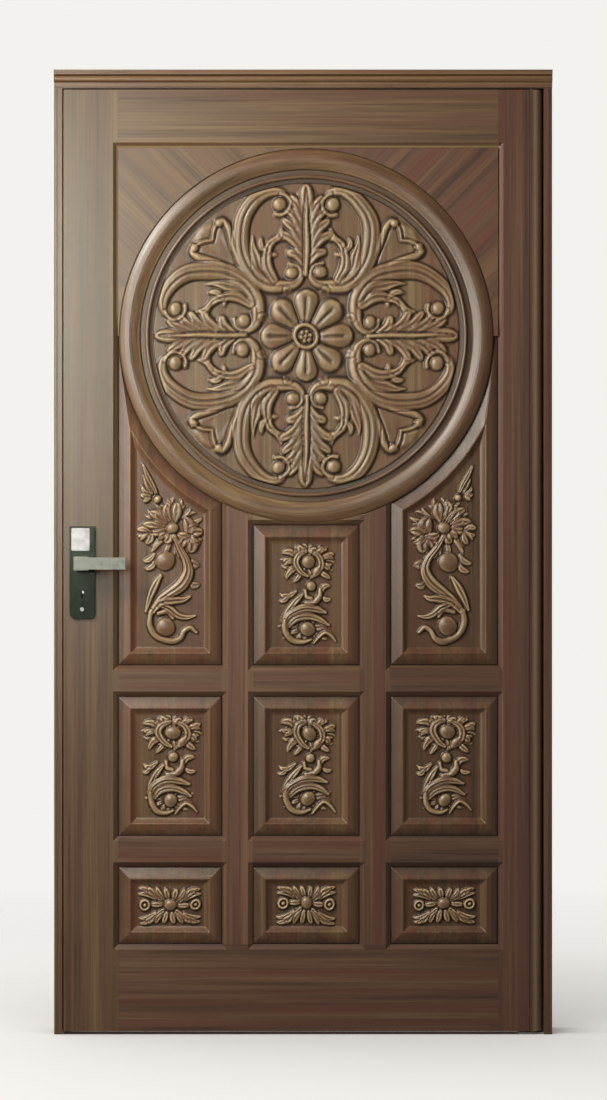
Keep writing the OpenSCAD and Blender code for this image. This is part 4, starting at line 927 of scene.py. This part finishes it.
def metal(name, colour, dark, rough, brushed=(1.0, 1.0, 1.0)):
    """Satin metal with fine brush marks and faint stains."""
    m = Nodes(name)
    place = m.add("ShaderNodeTexCoord").outputs["Object"]
    draw = m.add("ShaderNodeMapping")
    draw.inputs["Scale"].default_value = brushed
    m.link(place, draw.inputs["Vector"])
    brush = m.noise(draw.outputs[0], BRUSH_SCALE, 3.0)
    cloud = m.noise(place, TARNISH_SCALE, 4.0)
    m.link(m.mix(m.spread(cloud, 0.35, 0.65), dark, colour), m.shader.inputs["Base Color"])
    m.link(m.spread(brush, 0.3, 0.7, rough - 0.06, rough + 0.08), m.shader.inputs["Roughness"])
    m.link(m.bump(brush, 0.2 * MM, 0.25), m.shader.inputs["Normal"])
    m.shader.inputs["Metallic"].default_value = 0.82
    return m.material


def dress(names, material):
    """Gives CAD nodes a material through their own slots."""
    for name in names:
        for slot in nodes[name].material_slots:
            slot.material = material


def dress_wood():
    """Every wooden CAD node, with its grain direction, and a tone and shares of green and red that are
    partly its own and partly painted light.
    """
    # The tones are painted light: lighter and greener towards the upper left, darker and redder towards the
    # lower right
    upright = {"jamb_lock_side": (0.92, 1.08, 0.2), "jamb_hinge_side": (0.8, 0.85, 0.75),
               "lock_stile": (0.84, 1.04, 0.3), "hinge_stile": (0.75, 0.84, 0.75),
               "mullion_left": (0.9, 0.88, 0.6), "mullion_right": (0.78, 0.9, 0.75)}
    level = {"head": (1.0, 0.9, 0.6), "head_moulding": (1.25, 1.03, 0.35), "top_rail": (0.92, 1.02, 0.45),
             "bottom_rail": (0.79, 0.92, 0.75), "upper_rail_left": (0.82, 0.94, 0.6),
             "upper_rail_middle": (0.83, 0.92, 0.7), "upper_rail_right": (0.72, 0.9, 0.75),
             "lower_rail_left": (0.82, 0.92, 0.7), "lower_rail_middle": (0.78, 0.9, 0.75),
             "lower_rail_right": (0.68, 0.9, 0.75)}
    for k, (name, (tone, green, red)) in enumerate(upright.items()):
        shift = 0.37 * k
        dress([name], wood(f"wood_{name}", "up", tone, green, shift, grooved="jamb" not in name, red=red))
    for k, (name, (tone, green, red)) in enumerate(level.items()):
        shift = 0.29 * k + 3.0
        dress([name], wood(f"wood_{name}", "across", tone, green, shift, grooved="rail" in name, red=red))
    dress(["spandrel_left"], wood("wood_spandrel_left", "rise", 1.02, 1.03, 1.3, red=0.35))
    dress(["spandrel_right"], wood("wood_spandrel_right", "fall", 0.9, 0.88, 2.1))
    # The ring's lighter, greener tone is painted light on its left; its right gets painted shade
    dress(["medallion_ring"], wood("wood_ring", "ring", 1.15, 1.05, 0.6, 0.42, above=1.0, red=0.3))


def dress_metal():
    """The lock and its furniture, the pivots and the screws."""
    nickel = metal("nickel", linear(117, 116, 109), linear(97, 97, 91), 0.36, (1.0, 1.0, 8.0))
    plate = metal("plate_nickel", linear(46, 49, 43), linear(31, 35, 29), 0.26, (8.0, 1.0, 1.0))
    steel = metal("steel", linear(160, 160, 160), linear(120, 120, 118), 0.36)
    brass = metal("brass", linear(176, 148, 92), linear(132, 108, 66), 0.34)
    dress(["outside_lever", "inside_lever", "lock_forend", "strike_plate"], nickel)
    dress(["outside_plate", "inside_plate"], plate)
    bright = metal("bright_nickel", linear(158, 152, 156), linear(126, 121, 124), 0.34, (1.0, 1.0, 8.0))
    plate_field().data.materials.append(bright)
    latch_spring().data.materials.append(steel)
    dress(["frame_screws", "strike_screws", "top_pivot_plate", "top_pivot_pin", "bottom_pivot_plate",
           "bottom_pivot_pin", "pivot_plate_screws", "bush_screws", "lock_case", "lock_cover",
           "forend_screws", "spindle", "handle_plate_screws", "lever_grub_screws"], steel)
    dress(["thrust_washer", "top_pivot_bush", "bottom_pivot_bush", "latch_bolt", "dead_bolt",
           "follower"], brass)


# ---- Stage, light and camera ----

PAPER = linear(243, 242, 238)
FLOOR_SIZE = 3.4
FLOOR_CELLS = 48


def floor():
    """Pale floor that fades out into the background. It is seen, but throws no light on the object."""
    n = FLOOR_CELLS
    u, v = np.meshgrid(np.linspace(-1, 1, n + 1), np.linspace(-1, 1, n + 1))
    verts = np.stack([u * FLOOR_SIZE, v * FLOOR_SIZE, np.zeros_like(u)], -1).reshape(-1, 3)
    piece = add_mesh("floor", verts, sheet_quads(n + 1, n + 1), {})
    m = Nodes("floor_paper")
    place = m.add("ShaderNodeTexCoord").outputs["Object"]
    length = m.add("ShaderNodeVectorMath", operation="LENGTH")
    m.link(place, length.inputs[0])
    fade = m.spread(length.outputs["Value"], 0.35 * FLOOR_SIZE, 0.95 * FLOOR_SIZE)
    fade = m.math("POWER", fade, 0.7)
    m.shader.inputs["Base Color"].default_value = (0.86, 0.85, 0.83, 1.0)
    m.shader.inputs["Roughness"].default_value = 0.9
    m.shader.inputs["Specular IOR Level"].default_value = 0.1
    clear, both = m.add("ShaderNodeBsdfTransparent"), m.add("ShaderNodeMixShader")
    m.link(fade, both.inputs[0])
    m.link(m.shader.outputs[0], both.inputs[1])
    m.link(clear.outputs[0], both.inputs[2])
    m.link(both.outputs[0], m.out.inputs[0])
    piece.data.materials.append(m.material)
    piece.visible_diffuse = False
    piece.visible_glossy = False
    return piece


def background():
    """Pale paper behind the object, and a dim soft room around it."""
    world = bpy.data.worlds.new("room")
    bpy.context.scene.world = world
    world.use_nodes = True
    tree = world.node_tree
    tree.nodes.clear()
    seen, room = tree.nodes.new("ShaderNodeBackground"), tree.nodes.new("ShaderNodeBackground")
    seen.inputs[0].default_value = PAPER
    room.inputs[0].default_value = (1.0, 0.93, 0.85, 1.0)
    room.inputs[1].default_value = 0.235
    path, both = tree.nodes.new("ShaderNodeLightPath"), tree.nodes.new("ShaderNodeMixShader")
    out = tree.nodes.new("ShaderNodeOutputWorld")
    tree.links.new(path.outputs["Is Camera Ray"], both.inputs[0])
    tree.links.new(room.outputs[0], both.inputs[1])
    tree.links.new(seen.outputs[0], both.inputs[2])
    tree.links.new(both.outputs[0], out.inputs[0])


def area(name, place, target, size, power, colour=(1.0, 1.0, 1.0), only=None, skip=None, glossy=True):
    """Soft light at place that looks at target. It lights only one object, or all but the one to skip."""
    light = bpy.data.lights.new(name, "AREA")
    light.shape = "RECTANGLE"
    light.size, light.size_y = size
    light.energy = power
    light.color = colour
    lamp = bpy.data.objects.new(name, light)
    lamp.location = place
    lamp.rotation_euler = (Vector(target) - Vector(place)).to_track_quat("-Z", "Y").to_euler()
    lamp.visible_camera = False
    lamp.visible_glossy = glossy
    bpy.context.scene.collection.objects.link(lamp)
    if only or skip:
        group = bpy.data.collections.new(f"{name}_receivers")
        group.objects.link(only or skip)
        lamp.light_linking.receiver_collection = group
        if skip:
            group.collection_objects[0].light_linking.link_state = "EXCLUDE"


def lights(ground):
    """Soft lights at the left and front, at the side and behind, and one for the floor alone."""
    middle = (0.0, 0.0, 1.1)
    area("sheen", (-0.85, -1.9, 1.7), (-0.45, 0.0, 1.45), (0.4, 1.1), 28.0, (0.92, 1.0, 0.88), skip=ground)
    area("key", (-2.2, -2.0, 3.1), middle, (0.9, 0.9), 138.0, (1.0, 0.97, 0.9), skip=ground)
    area("strip", (-1.75, -1.9, 1.5), (-0.4, 0.0, 1.35), (0.25, 0.9), 24.0, (1.0, 1.0, 0.96), skip=ground)
    area("fill", (2.2, -3.4, 1.6), middle, (2.0, 2.4), 5.5, (1.0, 0.86, 0.76), skip=ground)
    area("behind", (1.8, 3.4, 4.2), middle, (2.4, 2.4), 200.0, skip=ground, glossy=False)
    area("side", (3.4, 1.0, 1.8), middle, (1.6, 2.2), 24.0, skip=ground)
    area("behind_low", (-2.0, 3.6, 1.2), middle, (1.6, 2.0), 26.0, (0.95, 0.97, 1.0), skip=ground)
    area("floor_light", (-1.2, -0.8, 7.0), (0.0, 0.0, 0.0), (6.0, 6.0), 540.0, only=ground)


VIEW_H = 2.396
CAMERA_AWAY = 7.0
CAMERA_X = 0.8 * MM
CAMERA_Z = 1.0552
SENSOR = 36.0


def camera():
    """Straight in front, level with the middle of the picture."""
    data = bpy.data.cameras.new("camera")
    data.sensor_width = SENSOR
    data.lens = SENSOR * CAMERA_AWAY / VIEW_H
    data.clip_end = 100.0
    eye = bpy.data.objects.new("camera", data)
    eye.location = (CAMERA_X, FACE_Y - CAMERA_AWAY, CAMERA_Z)
    eye.rotation_euler = (math.radians(90), 0.0, 0.0)
    bpy.context.scene.collection.objects.link(eye)
    bpy.context.scene.camera = eye


# ---- Build ----

camera()
ground = floor()
background()
lights(ground)
bpy.context.scene.view_settings.view_transform = "Standard"

dress_wood()
dress_metal()

# The medallion's wood is a lighter, greyer copy of the rest: painted sheen
medallion().data.materials.append(carved_wood("carved_medallion", "up", (1.2, 1.4, 1.46, 1.0), 0.4, 0.5))
# Carved panels are lighter in the left column and darker in the right: painted fall of light from the left
for k, (column, tone) in enumerate({"left": 1.12, "middle": 1.0, "right": 0.88}.items()):
    material = carved_wood(f"carved_{column}", "up", (tone, tone, tone, 1.0), 0.5 + k, 0.85)
    top = carve_tall_panel if column != "middle" else carve_top_middle_panel
    panel("top", column, top).data.materials.append(material)
    panel("middle", column, carve_flower_panel).data.materials.append(material)
    panel("bottom", column, carve_low_panel).data.materials.append(material)
